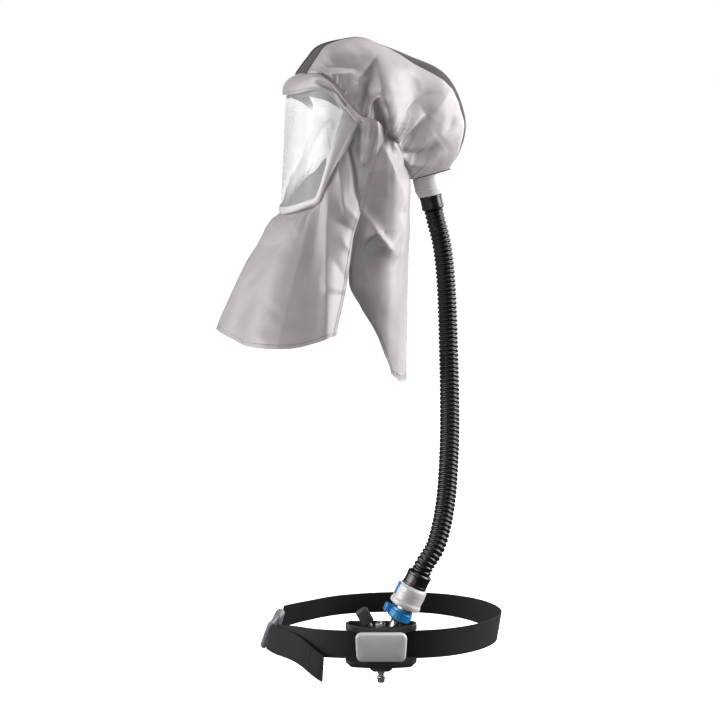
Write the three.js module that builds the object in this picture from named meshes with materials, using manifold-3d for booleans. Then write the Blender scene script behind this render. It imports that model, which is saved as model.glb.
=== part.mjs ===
// An air-fed respirator hood: a coated-cloth hood with a bent visor, a corrugated breathing hose and a
// waist belt that carries the air regulator.
// Millimetres, +Z up. The origin is where the crown of the wearer's head sits inside the hood, the face
// looks along -Y and +X is the wearer's left.
import * as THREE from "three";
import { mergeVertices } from "three/addons/utils/BufferGeometryUtils.js";
import Module from "manifold-3d";

const wasm = await Module();
wasm.setup();

// Driving dimensions, in millimetres and degrees
const CLOTH = 1.6; // wall of the coated cloth
const SEAM_GAP = 0.6; // gap left between two cloth pieces at a seam
const JOIN_GAP = 0.3; // gap left between hard pieces that touch
const AXIS_Y = -50; // the hood's upright axis, through the neck
const VISOR_RADIUS = 113; // outside of the bent visor sheet
const VISOR_SHEET = 1; // thickness of the visor
const VISOR_LEAN = 10; // how far the visor's foot stands in front of its top
const HOSE_RADIUS = 17.6; // outside of the corrugations
const CUFF_LENGTH = 26; // smooth rubber ends of the hose
const BELT_WIDTH = 50; // webbing
const BELT_THICK = 2.2;
const BELT_Z = -1038; // middle of the webbing
const BELT_TURN = 75; // the regulator sits on the left hip, this far round from the front

const degrees = THREE.MathUtils.degToRad;
const vector = (x, y, z) => new THREE.Vector3(x, y, z);
const mix = THREE.MathUtils.lerp;

// Materials
const finish = (color, roughness, metalness = 0) =>
  new THREE.MeshStandardMaterial({ color, roughness, metalness });
const greyCloth = finish("#b7b1b3", 0.55);
const ribbedCloth = finish("#7d7577", 0.8);
const clearSheet = new THREE.MeshStandardMaterial({
  color: "#e9edee",
  roughness: 0.08,
  transparent: true,
  opacity: 0.35,
});
const frameVinyl = finish("#d3cccf", 0.5);
const whitePlastic = finish("#dfdadb", 0.4);
const blackRubber = finish("#17171a", 0.35);
const blackPlastic = finish("#2b2b2d", 0.5);
const greyPlastic = finish("#8f9194", 0.45);
const bluePlastic = finish("#1f78c0", 0.4);
const steel = finish("#b9b4ae", 0.25, 1);
const webbing = finish("#1c1c22", 0.7);

// Tables: a row is read at any place between its neighbours, on a smooth curve through the rows
function readTable(rows, key, at) {
  const last = rows.length - 1;
  const clamped = Math.min(Math.max(at, rows[0][key]), rows[last][key]);
  let i = 0;
  while (i < last - 1 && rows[i + 1][key] <= clamped) i += 1;
  const share = (clamped - rows[i][key]) / (rows[i + 1][key] - rows[i][key]);
  const before = rows[Math.max(i - 1, 0)];
  const after = rows[Math.min(i + 2, last)];
  const read = {};
  for (const column of Object.keys(rows[i])) {
    read[column] = catmullRom(
      before[column],
      rows[i][column],
      rows[i + 1][column],
      after[column],
      share,
    );
  }
  return read;
}

function catmullRom(a, b, c, d, t) {
  const startSlope = (c - a) / 2;
  const endSlope = (d - b) / 2;
  const square = 3 * (c - b) - 2 * startSlope - endSlope;
  const cube = startSlope + endSlope - 2 * (c - b);
  return b + t * (startSlope + t * (square + t * cube));
}

// Solids
function closedMesh(points, triangles) {
  const positions = new Float32Array(points.flatMap((p) => [p.x, p.y, p.z]));
  const geometry = new THREE.BufferGeometry();
  geometry.setAttribute("position", new THREE.BufferAttribute(positions, 3));
  geometry.setIndex(triangles);
  return facingOut(geometry);
}

function facingOut(geometry) {
  const p = geometry.attributes.position;
  const index = geometry.index.array;
  const corners = [vector(), vector(), vector()];
  let volume = 0;
  for (let i = 0; i < index.length; i += 3) {
    corners.forEach((corner, k) => corner.fromBufferAttribute(p, index[i + k]));
    volume += corners[0].dot(corners[1].clone().cross(corners[2]));
  }
  for (let i = 0; volume < 0 && i < index.length; i += 3) {
    [index[i + 1], index[i + 2]] = [index[i + 2], index[i + 1]];
  }
  return geometry;
}

function bare(geometry) {
  const plain = new THREE.BufferGeometry();
  plain.setAttribute("position", geometry.attributes.position.clone());
  if (geometry.index) plain.setIndex(geometry.index.clone());
  return facingOut(mergeVertices(plain, 1e-3));
}

function toSolid(geometry) {
  const closed = bare(geometry);
  return new wasm.Manifold(
    new wasm.Mesh({
      numProp: 3,
      vertProperties: closed.attributes.position.array,
      triVerts: new Uint32Array(closed.index.array),
    }),
  );
}

function fromSolid(solid) {
  const mesh = solid.getMesh();
  const geometry = new THREE.BufferGeometry();
  geometry.setAttribute("position", new THREE.BufferAttribute(mesh.vertProperties.slice(), 3));
  geometry.setIndex([...mesh.triVerts]);
  return geometry;
}

const fuse = (...geometries) => fromSolid(geometries.map(toSolid).reduce((all, one) => all.add(one)));
const cut = (geometry, ...tools) =>
  fromSolid(tools.map(toSolid).reduce((left, tool) => left.subtract(tool), toSolid(geometry)));

// A wall of even thickness. surface(a, b) gives its outside for a and b from 0 to 1. The wall lies behind
// the side that sees a turn to b counter-clockwise, or with side = -1 behind the other one.
function wall(surface, alongCount, acrossCount, thickness, side = 1) {
  const columns = acrossCount + 1;
  const outside = [];
  const inside = [];
  const step = 1e-3;
  for (let i = 0; i <= alongCount; i += 1) {
    for (let j = 0; j <= acrossCount; j += 1) {
      const a = i / alongCount;
      const b = j / acrossCount;
      const point = surface(a, b);
      const along = surface(Math.min(a + step, 1), b).sub(surface(Math.max(a - step, 0), b));
      const across = surface(a, Math.min(b + step, 1)).sub(surface(a, Math.max(b - step, 0)));
      const inward = along.cross(across).normalize().multiplyScalar(-side * thickness);
      outside.push(point);
      inside.push(point.clone().add(inward));
    }
  }
  const points = [...outside, ...inside];
  const half = outside.length;
  const triangles = [];
  const span = (p, q) => points[p].distanceToSquared(points[q]);
  const quad = (p, q, r, s) => {
    if (span(p, r) <= span(q, s)) triangles.push(p, q, r, p, r, s);
    else triangles.push(p, q, s, q, r, s);
  };
  const at = (i, j) => i * columns + j;
  for (let i = 0; i < alongCount; i += 1) {
    for (let j = 0; j < acrossCount; j += 1) {
      quad(at(i, j), at(i + 1, j), at(i + 1, j + 1), at(i, j + 1));
      quad(half + at(i, j), half + at(i, j + 1), half + at(i + 1, j + 1), half + at(i + 1, j));
    }
    const [left, right] = [at(i, acrossCount), at(i + 1, acrossCount)];
    quad(at(i, 0), half + at(i, 0), half + at(i + 1, 0), at(i + 1, 0));
    quad(left, right, half + right, half + left);
  }
  for (let j = 0; j < acrossCount; j += 1) {
    const [left, right] = [at(alongCount, j), at(alongCount, j + 1)];
    quad(at(0, j), at(0, j + 1), half + at(0, j + 1), half + at(0, j));
    quad(left, half + left, half + right, right);
  }
  return closedMesh(points, triangles);
}

// A turned piece on the Z axis, from a closed outline of [radius, height] corners
function turned(outline, segments) {
  const points = [...outline, outline[0]].map(([r, h]) => new THREE.Vector2(r, h));
  return bare(new THREE.LatheGeometry(points, segments)).rotateX(Math.PI / 2);
}

// A plate with a rounded outline on X and Y, from z = 0 up to its height
function plate(width, depth, corner, height, bevel = 0) {
  const w = width / 2 - bevel;
  const d = depth / 2 - bevel;
  const shape = new THREE.Shape();
  shape.moveTo(-w + corner, -d);
  shape.lineTo(w - corner, -d);
  shape.absarc(w - corner, -d + corner, corner, -Math.PI / 2, 0);
  shape.lineTo(w, d - corner);
  shape.absarc(w - corner, d - corner, corner, 0, Math.PI / 2);
  shape.lineTo(-w + corner, d);
  shape.absarc(-w + corner, d - corner, corner, Math.PI / 2, Math.PI);
  shape.lineTo(-w, -d + corner);
  shape.absarc(-w + corner, -d + corner, corner, Math.PI, 1.5 * Math.PI);
  const geometry = new THREE.ExtrudeGeometry(shape, {
    depth: height - 2 * bevel,
    curveSegments: 2,
    bevelEnabled: bevel > 0,
    bevelSize: bevel,
    bevelThickness: bevel,
    bevelSegments: 1,
  });
  return geometry.translate(0, 0, bevel);
}

const block = (width, depth, height) => new THREE.BoxGeometry(width, depth, height);

// A round cutter on the Z axis, with its middle at the origin
const bore = (radius, length) =>
  new THREE.CylinderGeometry(radius, radius, length, 14).rotateX(Math.PI / 2);

// Folds: each runs over the cloth between two places and lifts or sinks it on either side of that line
function foldHeight(point, folds) {
  const line = new THREE.Line3();
  const nearest = vector();
  let height = 0;
  for (const { start, end, width, startRise, endRise } of folds) {
    line.set(start, end);
    const share = line.closestPointToPointParameter(point, true);
    line.at(share, nearest);
    height += mix(startRise, endRise, share) * Math.exp(-nearest.distanceToSquared(point) / width ** 2);
  }
  return height;
}

const fadeAtEdges = (a, margin) => Math.min(1, Math.min(a, 1 - a) / margin);

// Head part. Each row is a section of one side panel, from the brow to the underside at the back: the
// panel starts on the gathered seam below and ends on the ridge beside the gusset.
const CROWN_SECTIONS = [
  { at: 0, seamX: 80, seamY: -114, seamZ: -39, ridgeX: 42, ridgeY: -136, ridgeZ: -37, rise: 8 },
  { at: 1, seamX: 93, seamY: -104, seamZ: -51, ridgeX: 36, ridgeY: -117, ridgeZ: -9, rise: 4 },
  { at: 2, seamX: 104, seamY: -86, seamZ: -75, ridgeX: 31, ridgeY: -95, ridgeZ: 14, rise: 0 },
  { at: 3, seamX: 112, seamY: -56, seamZ: -115, ridgeX: 31, ridgeY: -45, ridgeZ: 25, rise: -1 },
  { at: 4, seamX: 114, seamY: -44, seamZ: -128, ridgeX: 34, ridgeY: -6, ridgeZ: 16, rise: 4 },
  { at: 5, seamX: 114, seamY: -14, seamZ: -143, ridgeX: 38, ridgeY: 59, ridgeZ: -15, rise: 12 },
  { at: 6, seamX: 108, seamY: 10, seamZ: -158, ridgeX: 40, ridgeY: 120, ridgeZ: -50, rise: 17 },
  { at: 7, seamX: 100, seamY: 21, seamZ: -181, ridgeX: 40, ridgeY: 153, ridgeZ: -116, rise: 15 },
  { at: 8, seamX: 85, seamY: 37, seamZ: -208, ridgeX: 41, ridgeY: 147, ridgeZ: -166, rise: 14 },
  { at: 9, seamX: 66, seamY: 48, seamZ: -224, ridgeX: 42, ridgeY: 126, ridgeZ: -205, rise: 8 },
];
const LAST_SECTION = CROWN_SECTIONS.length - 1;

// The folds of a side panel, in sections along and in shares of the way up from the seam to the ridge
const CROWN_FOLDS = [
  { fromAlong: 1.0, fromUp: 0.45, toAlong: 2.5, toUp: 0.31, width: 14, startRise: -5, endRise: -6 },
  { fromAlong: 3.7, fromUp: 0.5, toAlong: 3.1, toUp: 0.1, width: 14, startRise: -8, endRise: -6 },
  { fromAlong: 4.15, fromUp: 0.16, toAlong: 4.6, toUp: 0.04, width: 11, startRise: -12, endRise: -15 },
  { fromAlong: 4.15, fromUp: 0.55, toAlong: 5.4, toUp: 0.06, width: 15, startRise: 6, endRise: 9 },
  { fromAlong: 6.4, fromUp: 0.26, toAlong: 6.3, toUp: 0.05, width: 13, startRise: -9, endRise: -8 },
  { fromAlong: 7.3, fromUp: 0.26, toAlong: 7.1, toUp: 0.05, width: 13, startRise: -9, endRise: -11 },
  { fromAlong: 8.2, fromUp: 0.35, toAlong: 8, toUp: 0.08, width: 12, startRise: -3, endRise: -6 },
];

// Swell of the panel between its seam and its ridge, as a quarter of a full, boxy ellipse
const PANEL_FULLNESS = 0.82;
const EDGE_CROWDING = 1.22; // the mesh is finer near the seam and the ridge
const PANEL_HEART_Z = -90; // folds rise away from this height inside the head part

function crownBase(along, up) {
  const row = readTable(CROWN_SECTIONS, "at", along);
  const turn = (up * Math.PI) / 2;
  const inPlane = Math.sin(turn) ** PANEL_FULLNESS;
  const sideways = Math.max(Math.cos(turn), 0) ** PANEL_FULLNESS;
  return vector(
    mix(row.ridgeX, row.seamX, sideways),
    mix(row.seamY, row.ridgeY, inPlane),
    mix(row.seamZ, row.ridgeZ, inPlane),
  );
}

const CROWN_FOLD_LINES = CROWN_FOLDS.map((fold) => ({
  ...fold,
  start: crownBase(fold.fromAlong, fold.fromUp),
  end: crownBase(fold.toAlong, fold.toUp),
}));

function crownPanel(side) {
  const surface = (a, b) => {
    const above = b ** EDGE_CROWDING;
    const below = (1 - b) ** EDGE_CROWDING;
    const point = crownBase(a * LAST_SECTION, above / (above + below));
    const centre = vector(0, mix(-60, 60, a), PANEL_HEART_Z);
    const outward = point.clone().sub(centre).normalize();
    const lift = foldHeight(point, CROWN_FOLD_LINES) * fadeAtEdges(b, 0.12) * fadeAtEdges(a, 0.06);
    point.addScaledVector(outward, lift);
    point.x *= side;
    return point;
  };
  return wall(surface, side > 0 ? 32 : 22, side > 0 ? 11 : 9, CLOTH, side);
}

function crownGusset() {
  const surface = (a, b) => {
    const row = readTable(CROWN_SECTIONS, "at", a * LAST_SECTION);
    const ahead = readTable(CROWN_SECTIONS, "at", Math.min(a * LAST_SECTION + 0.05, LAST_SECTION));
    const behind = readTable(CROWN_SECTIONS, "at", Math.max(a * LAST_SECTION - 0.05, 0));
    const slope = vector(0, ahead.ridgeY - behind.ridgeY, ahead.ridgeZ - behind.ridgeZ).normalize();
    const across = mix(-1, 1, b);
    const rise = row.rise * (1 - across * across) - 1;
    const halfWidth = row.ridgeX - SEAM_GAP;
    return vector(across * halfWidth, row.ridgeY - slope.z * rise, row.ridgeZ + slope.y * rise);
  };
  return wall(surface, 24, 3, CLOTH, -1);
}

// The underside at the back, between the last sections of both panels, with the hole for the inlet
const INLET_Y = 94;
const INLET_Z = -210.5; // on the panel
const INLET_HOLE = 21;
function inletPanel() {
  const last = CROWN_SECTIONS[LAST_SECTION];
  const surface = (a, b) => {
    const halfWidth = mix(last.seamX - 8, last.ridgeX - 3, a);
    const y = mix(last.seamY + 3, last.ridgeY - 2, a);
    return vector(mix(-halfWidth, halfWidth, b), y, mix(last.seamZ + 3, last.ridgeZ + 2, a));
  };
  const sheet = wall(surface, 2, 2, CLOTH, -1);
  return cut(sheet, inletPlace(bore(INLET_HOLE, 40)));
}

// Face. The visor is bent round an upright axis that leans with it.
const VISOR_TOP = -75;
const VISOR_FOOT = -272;
const VISOR_AXIS_Y = -48; // at the visor's top
const INSIDE_VISOR = VISOR_RADIUS - VISOR_SHEET - 1; // cloth that lies against the visor's back
const visorAxisY = (z) => VISOR_AXIS_Y - (VISOR_LEAN * (VISOR_TOP - z)) / (VISOR_TOP - VISOR_FOOT);
function onVisor(turn, z, radius) {
  const angle = degrees(turn);
  return vector(radius * Math.sin(angle), visorAxisY(z) - radius * Math.cos(angle), z);
}

// The frame's edges from the ear down to the chin, as turns from the front and heights: the inner edge
// bounds the clear window and the outer one is sewn to the cape
const FRAME = [
  { at: 0, innerTurn: 70.5, innerZ: -107, outerTurn: 84, outerZ: -126 },
  { at: 1, innerTurn: 65.5, innerZ: -142, outerTurn: 76.5, outerZ: -150 },
  { at: 2, innerTurn: 60, innerZ: -180, outerTurn: 68.5, outerZ: -182 },
  { at: 3, innerTurn: 55.5, innerZ: -217, outerTurn: 61, outerZ: -220 },
  { at: 4, innerTurn: 51.5, innerZ: -244, outerTurn: 56.5, outerZ: -248 },
  { at: 5, innerTurn: 48.5, innerZ: -254.5, outerTurn: 52.5, outerZ: -263.5 },
  { at: 6, innerTurn: 42, innerZ: -259, outerTurn: 44, outerZ: -269 },
  { at: 7, innerTurn: 28, innerZ: -266.5, outerTurn: 29, outerZ: -277.5 },
  { at: 8, innerTurn: 12, innerZ: -271, outerTurn: 12, outerZ: -283 },
  { at: 9, innerTurn: 0, innerZ: -272, outerTurn: 0, outerZ: -284 },
];
const FRAME_CHIN = FRAME.length - 1;
// The brow at each turn: the band's lower edge, its crest and its upper edge, as reach from the axis
const BROW = [
  { turn: 0, footZ: -75, crestReach: 117, crestZ: -50, topReach: 89, topZ: -42 },
  { turn: 22, footZ: -74, crestReach: 117, crestZ: -50, topReach: 93, topZ: -43 },
  { turn: 50, footZ: -68, crestReach: 117, crestZ: -47, topReach: 99, topZ: -43 },
  { turn: 60, footZ: -78, crestReach: 116, crestZ: -58, topReach: 102, topZ: -54 },
  { turn: 71, footZ: -104, crestReach: 115, crestZ: -88, topReach: 105, topZ: -79 },
  { turn: 87, footZ: -126, crestReach: 113, crestZ: -121, topReach: 107, topZ: -117 },
];
const BROW_END = 87;
const browRow = (turn) => readTable(BROW, "turn", Math.abs(turn));

function browBand() {
  const surface = (a, b) => {
    const turn = mix(-BROW_END, BROW_END, a);
    const row = browRow(turn);
    const foot = onVisor(turn, row.footZ, VISOR_RADIUS + 4.8);
    const angle = degrees(turn);
    const ring = (reach, z) => vector(reach * Math.sin(angle), AXIS_Y - reach * Math.cos(angle), z);
    const curve = new THREE.QuadraticBezierCurve3(
      foot,
      ring(row.crestReach + 5, row.crestZ),
      ring(row.topReach, row.topZ),
    );
    return curve.getPoint(b);
  };
  return wall(surface, 26, 3, CLOTH);
}

function browFacing() {
  const hang = 16; // how far the facing hangs below the band
  const surface = (a, b) => {
    const turn = mix(-68, 68, a);
    const foot = browRow(turn).footZ;
    return onVisor(turn, mix(foot - hang, foot + 8, b), INSIDE_VISOR);
  };
  return wall(surface, 18, 1, 2);
}

// The visor goes behind the frame and the brow band on all its edges
function visor() {
  const tuck = 2.5; // degrees behind the frame at the sides
  const sideRows = [...FRAME].reverse();
  const surface = (a, b) => {
    const across = mix(-1, 1, a);
    const sideTurn = readTable(sideRows, "innerZ", mix(-252, -104, b)).innerTurn + tuck;
    const turn = across * sideTurn;
    const foot = readTable(sideRows, "innerTurn", Math.abs(turn)).innerZ - 5;
    const top = browRow(turn).footZ + 7;
    return onVisor(turn, mix(Math.min(foot, -240), top, b), VISOR_RADIUS);
  };
  return wall(surface, 16, 5, VISOR_SHEET);
}

function visorFrame() {
  const surface = (a, b) => {
    const side = a < 0.5 ? -1 : 1;
    const row = readTable(FRAME, "at", 2 * Math.min(a, 1 - a) * FRAME_CHIN);
    const turn = side * mix(row.outerTurn, row.innerTurn, b);
    return onVisor(turn, mix(row.outerZ, row.innerZ, b), VISOR_RADIUS + 2.2);
  };
  return wall(surface, 34, 2, CLOTH);
}

// The collar inside, which climbs from the chin to the ears and shows through the window
const COLLAR_TOP = [
  { turn: 0, z: -262 },
  { turn: 20, z: -240 },
  { turn: 44, z: -208 },
  { turn: 56, z: -186 },
];
function chinCollar() {
  const surface = (a, b) => {
    const turn = mix(-56, 56, a);
    const foot = readTable([...FRAME].reverse(), "innerTurn", Math.abs(turn)).innerZ + 1;
    const top = readTable(COLLAR_TOP, "turn", Math.abs(turn)).z;
    return onVisor(turn, mix(foot, top, b), INSIDE_VISOR - 6 * b);
  };
  return wall(surface, 16, 2, CLOTH);
}

// Shoulder cape, by the turn round the neck from the front: where it starts under the hood, where its
// hem is, and how late it flares on the way down. The bib is its front, the flap its back.
const BIB = [
  { turn: 0, topReach: 121.5, topZ: -286, hemReach: 236, hemZ: -487, flare: 0.7 },
  { turn: 14, topReach: 121, topZ: -285, hemReach: 236, hemZ: -498, flare: 0.72 },
  { turn: 30, topReach: 119.5, topZ: -280, hemReach: 234, hemZ: -507, flare: 0.78 },
  { turn: 45, topReach: 115, topZ: -270, hemReach: 227, hemZ: -508, flare: 0.95 },
  { turn: 52, topReach: 110, topZ: -248, hemReach: 222, hemZ: -506, flare: 1.2 },
  { turn: 59, topReach: 107, topZ: -206, hemReach: 215, hemZ: -499, flare: 1.5 },
  { turn: 70, topReach: 105, topZ: -156, hemReach: 206, hemZ: -486, flare: 2 },
  { turn: 88, topReach: 103, topZ: -120, hemReach: 200, hemZ: -484, flare: 2.6 },
  { turn: 114, topReach: 113, topZ: -141, hemReach: 196, hemZ: -480, flare: 3 },
];
const FLAP = [
  { turn: 70, topReach: 105, topZ: -156, hemReach: 168, hemZ: -560, flare: 1.3 },
  { turn: 88, topReach: 103, topZ: -120, hemReach: 140, hemZ: -552, flare: 1.6 },
  { turn: 114, topReach: 113, topZ: -141, hemReach: 108, hemZ: -548, flare: 1.2 },
  { turn: 130, topReach: 114, topZ: -176, hemReach: 101, hemZ: -562, flare: 1 },
  { turn: 148, topReach: 109, topZ: -213, hemReach: 102, hemZ: -573, flare: 1 },
  { turn: 180, topReach: 99.5, topZ: -219, hemReach: 101, hemZ: -582, flare: 1 },
];
// The side edges, as the turn from the front at each share of the way down. Bib and flap meet on a seam
// as far as the slit, where the flap's edge curves away, further round on the wearer's right.
const BIB_EDGE = [
  { down: 0, turn: 112 },
  { down: 0.24, turn: 100 },
  { down: 0.39, turn: 90 },
  { down: 0.54, turn: 80 },
  { down: 0.75, turn: 75 },
  { down: 1, turn: 70 },
];
const FLAP_EDGE = [
  { down: 0, turn: 112, farTurn: 112 },
  { down: 0.2, turn: 100, farTurn: 100 },
  { down: 0.33, turn: 90, farTurn: 91 },
  { down: 0.45, turn: 81, farTurn: 90 },
  { down: 0.58, turn: 76, farTurn: 102 },
  { down: 0.68, turn: 86, farTurn: 118 },
  { down: 0.78, turn: 99, farTurn: 131 },
  { down: 0.87, turn: 110, farTurn: 142 },
  { down: 1, turn: 122, farTurn: 154 },
];
// Folds of the cape: turn and share of the way down at both ends
const BIB_FOLDS = [
  { fromTurn: 22, fromDown: 0.2, toTurn: 28, toDown: 1, width: 34, startRise: 3, endRise: 8 },
  { fromTurn: 42, fromDown: 0.3, toTurn: 46, toDown: 1, width: 26, startRise: -6, endRise: -13 },
  { fromTurn: 63, fromDown: 0.1, toTurn: 66, toDown: 1, width: 18, startRise: 7, endRise: 9 },
  { fromTurn: 80, fromDown: 0.06, toTurn: 90, toDown: 0.4, width: 17, startRise: -11, endRise: -9 },
];
const FLAP_FOLDS = [
  { fromTurn: 108, fromDown: 0.05, toTurn: 100, toDown: 0.34, width: 17, startRise: -5, endRise: -6 },
  { fromTurn: 130, fromDown: 0.06, toTurn: 130, toDown: 0.34, width: 17, startRise: -7, endRise: -6 },
  { fromTurn: 91, fromDown: 0.42, toTurn: 116, toDown: 0.48, width: 17, startRise: 7, endRise: 8 },
  { fromTurn: 104, fromDown: 0.66, toTurn: 126, toDown: 0.96, width: 18, startRise: -4, endRise: -8 },
  { fromTurn: 180, fromDown: 0.2, toTurn: 180, toDown: 1, width: 24, startRise: -4, endRise: -8 },
];

function capeBase(table, turn, down) {
  const row = readTable(table, "turn", turn);
  const angle = degrees(turn);
  const reach = mix(row.topReach, row.hemReach, down ** row.flare);
  return vector(reach * Math.sin(angle), AXIS_Y - reach * Math.cos(angle), mix(row.topZ, row.hemZ, down));
}

// The cape's folds are alike on both sides and fade out where it is sewn to the hood
const CAPE_FADE = 0.08;
const capeFoldLines = (table, folds) =>
  folds.map((fold) => ({
    ...fold,
    start: capeBase(table, fold.fromTurn, fold.fromDown),
    end: capeBase(table, fold.toTurn, fold.toDown),
  }));

function capePoint(table, foldLines, turn, down) {
  const point = capeBase(table, Math.abs(turn), down);
  const lift = foldHeight(point, foldLines) * Math.min(1, down / CAPE_FADE);
  const outward = vector(point.x, point.y - AXIS_Y, 0).normalize();
  point.addScaledVector(outward, lift);
  if (turn < 0) point.x = -point.x;
  return point;
}

function bib() {
  const lines = capeFoldLines(BIB, BIB_FOLDS);
  const surface = (a, b) => {
    const edge = readTable(BIB_EDGE, "down", b).turn - 0.4;
    return capePoint(BIB, lines, mix(-edge, edge, a), b);
  };
  return wall(surface, 30, 10, CLOTH, -1);
}

function napeFlap() {
  const lines = capeFoldLines(FLAP, FLAP_FOLDS);
  const surface = (a, b) => {
    const edge = readTable(FLAP_EDGE, "down", b);
    const turn = mix(edge.turn + 1.2, 360 - edge.farTurn - 1.2, a);
    return capePoint(FLAP, lines, turn > 180 ? turn - 360 : turn, b);
  };
  return wall(surface, 22, 10, CLOTH, -1);
}

// Air inlet under the back of the hood, on its own leaning axis
const INLET_LEAN = 13;
function inletPlace(object) {
  const lean = new THREE.Matrix4().makeRotationX(degrees(INLET_LEAN));
  lean.setPosition(0, INLET_Y, INLET_Z);
  return object.applyMatrix4(lean);
}
const CONNECTOR_LENGTH = 44;
const SPIGOT_RADIUS = 15.7;
const CUFF_BORE = 16;

function inletConnector() {
  const outline = [
    [13, 8],
    [INLET_HOLE - 0.8, 8],
    [INLET_HOLE - 0.8, -2.6],
    [27.5, -2.6],
    [27.5, -6],
    [25.5, -8],
    [25.5, -33],
    [22, -CONNECTOR_LENGTH],
    [SPIGOT_RADIUS, -CONNECTOR_LENGTH],
    [SPIGOT_RADIUS, -CONNECTOR_LENGTH - 16],
    [13, -CONNECTOR_LENGTH - 16],
  ];
  return inletPlace(turned(outline, 18));
}

function hoseCuff(radius) {
  const outline = [
    [CUFF_BORE, 0],
    [radius, 0],
    [radius, -CUFF_LENGTH + 3],
    [radius - 2.5, -CUFF_LENGTH],
    [CUFF_BORE, -CUFF_LENGTH],
  ];
  return turned(outline, 16);
}

// Everything on the belt is placed in the belt's own frame: +X to the right and -Y outward, as seen by
// someone who looks at the regulator.
const REGULATOR_X = 10;
const REGULATOR_Y = -170;
const STEM_LEAN = 26; // the hose leaves the regulator leaning this far back along the belt
const STEM_BASE = vector(39, REGULATOR_Y, -988.5); // foot of the locking ring, on the stem's axis
const RING_HEIGHT = 20;
const COUPLING_FOOT = 25;
const COUPLING_TOP = 65;
const LOWER_CUFF_RADIUS = 22;
function stemPlace(object) {
  const lean = new THREE.Matrix4().makeRotationY(degrees(STEM_LEAN));
  lean.setPosition(STEM_BASE);
  return object.applyMatrix4(lean);
}

function outletStem() {
  const outline = [
    [6.5, -20],
    [9.5, -20],
    [9.5, -15],
    [8.5, -9],
    [9.5, -4],
    [13, -0.5],
    [13, COUPLING_TOP - 12],
    [10.5, COUPLING_TOP - 12],
    [7, 0],
  ];
  return stemPlace(turned(outline, 14));
}

function lockingRing() {
  const ring = turned(
    [
      [13.6, 0.5],
      [19.5, 0.5],
      [21.5, 3],
      [21.5, RING_HEIGHT - 6],
      [19.5, RING_HEIGHT - 4],
      [19.5, RING_HEIGHT],
      [13.6, RING_HEIGHT],
    ],
    20,
  );
  const lug = cut(plate(15, 18, 4, 13).translate(-23, 0, 5), bore(18, 60));
  return stemPlace(fuse(ring, lug));
}

function hoseCoupling() {
  const outline = [
    [13.4, COUPLING_FOOT],
    [25, COUPLING_FOOT],
    [28, COUPLING_FOOT + 2.5],
    [28, COUPLING_FOOT + 8],
    [26.2, COUPLING_FOOT + 12],
    [26.8, COUPLING_TOP - 12],
    [26, COUPLING_TOP - 5],
    [23.5, COUPLING_TOP],
    [SPIGOT_RADIUS, COUPLING_TOP],
    [SPIGOT_RADIUS, COUPLING_TOP + 16],
    [13.4, COUPLING_TOP + 16],
  ];
  return stemPlace(turned(outline, 18));
}

function gripInlay() {
  const shell = turned(
    [
      [27.6, 0],
      [29.6, 1],
      [29.6, 21],
      [27.6, 22],
    ],
    28,
  ).translate(0, 0, COUPLING_FOOT + 15);
  const keep = block(14, 20, 40).translate(-29, 0, COUPLING_FOOT + 26);
  return stemPlace(fromSolid(toSolid(shell).intersect(toSolid(keep))));
}

function lowerCuff() {
  return stemPlace(hoseCuff(LOWER_CUFF_RADIUS).rotateX(Math.PI).translate(0, 0, COUPLING_TOP + JOIN_GAP));
}

// The regulator: a housing with a tray above and below, joined behind and in front of the webbing
const HOUSING_WIDTH = 125;
const HOUSING_DEPTH = 40;
const HOUSING_TOP = -996;
const HOUSING_FOOT = -1071;
const TRAY_HEIGHT = 11.5;
const BELT_SLOT = 7;
const BELT_FRONT_Y = -157; // the webbing where it passes the regulator
const regulatorPlace = (object) => object.translate(REGULATOR_X, REGULATOR_Y, 0);

function regulatorHousing() {
  const height = HOUSING_TOP - HOUSING_FOOT;
  const inner = height - 4;
  const upperTray = plate(HOUSING_WIDTH, HOUSING_DEPTH, 12, TRAY_HEIGHT, 1.5);
  upperTray.translate(0, 0, HOUSING_TOP - TRAY_HEIGHT);
  const lowerTray = plate(HOUSING_WIDTH, HOUSING_DEPTH, 8, 20, 7).translate(0, 0, HOUSING_FOOT);
  const lowerTop = block(200, 100, 20).translate(0, 0, HOUSING_FOOT + TRAY_HEIGHT + 10);
  const backPlate = plate(HOUSING_WIDTH - 8, 6, 2.5, inner);
  backPlate.translate(0, HOUSING_DEPTH / 2 - 3, HOUSING_FOOT + 2);
  const core = plate(80, 18, 4, inner).translate(0, -6, HOUSING_FOOT + 2);
  const boss = plate(42, 26, 6, 12, 4).translate(0, -1, HOUSING_FOOT - 8);
  const pocket = plate(HOUSING_WIDTH - 9, HOUSING_DEPTH - 7, 8, 30).translate(0, 0, HOUSING_TOP - 10);
  const slot = block(HOUSING_WIDTH + 20, BELT_SLOT, BELT_WIDTH + 3);
  slot.translate(0, BELT_FRONT_Y - REGULATOR_Y + 1.5, BELT_Z);
  const nippleBore = bore(4.4, 30).translate(0, -1, HOUSING_FOOT);
  const knobBore = knobPlace(bore(5, 24).translate(0, 0, -10)).translate(-REGULATOR_X, -REGULATOR_Y, 0);
  const stemBore = stemPlace(bore(10, 24).translate(0, 0, -10)).translate(-REGULATOR_X, -REGULATOR_Y, 0);
  const trays = fuse(upperTray, cut(lowerTray, lowerTop));
  const body = cut(fuse(trays, backPlate, core, boss), pocket, slot, nippleBore, knobBore, stemBore);
  return regulatorPlace(body);
}

function regulatorCover() {
  const face = plate(90, 51, 6, 16, 5).rotateX(Math.PI / 2);
  return regulatorPlace(face.translate(0, -15 - JOIN_GAP, -1033.5));
}

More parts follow.
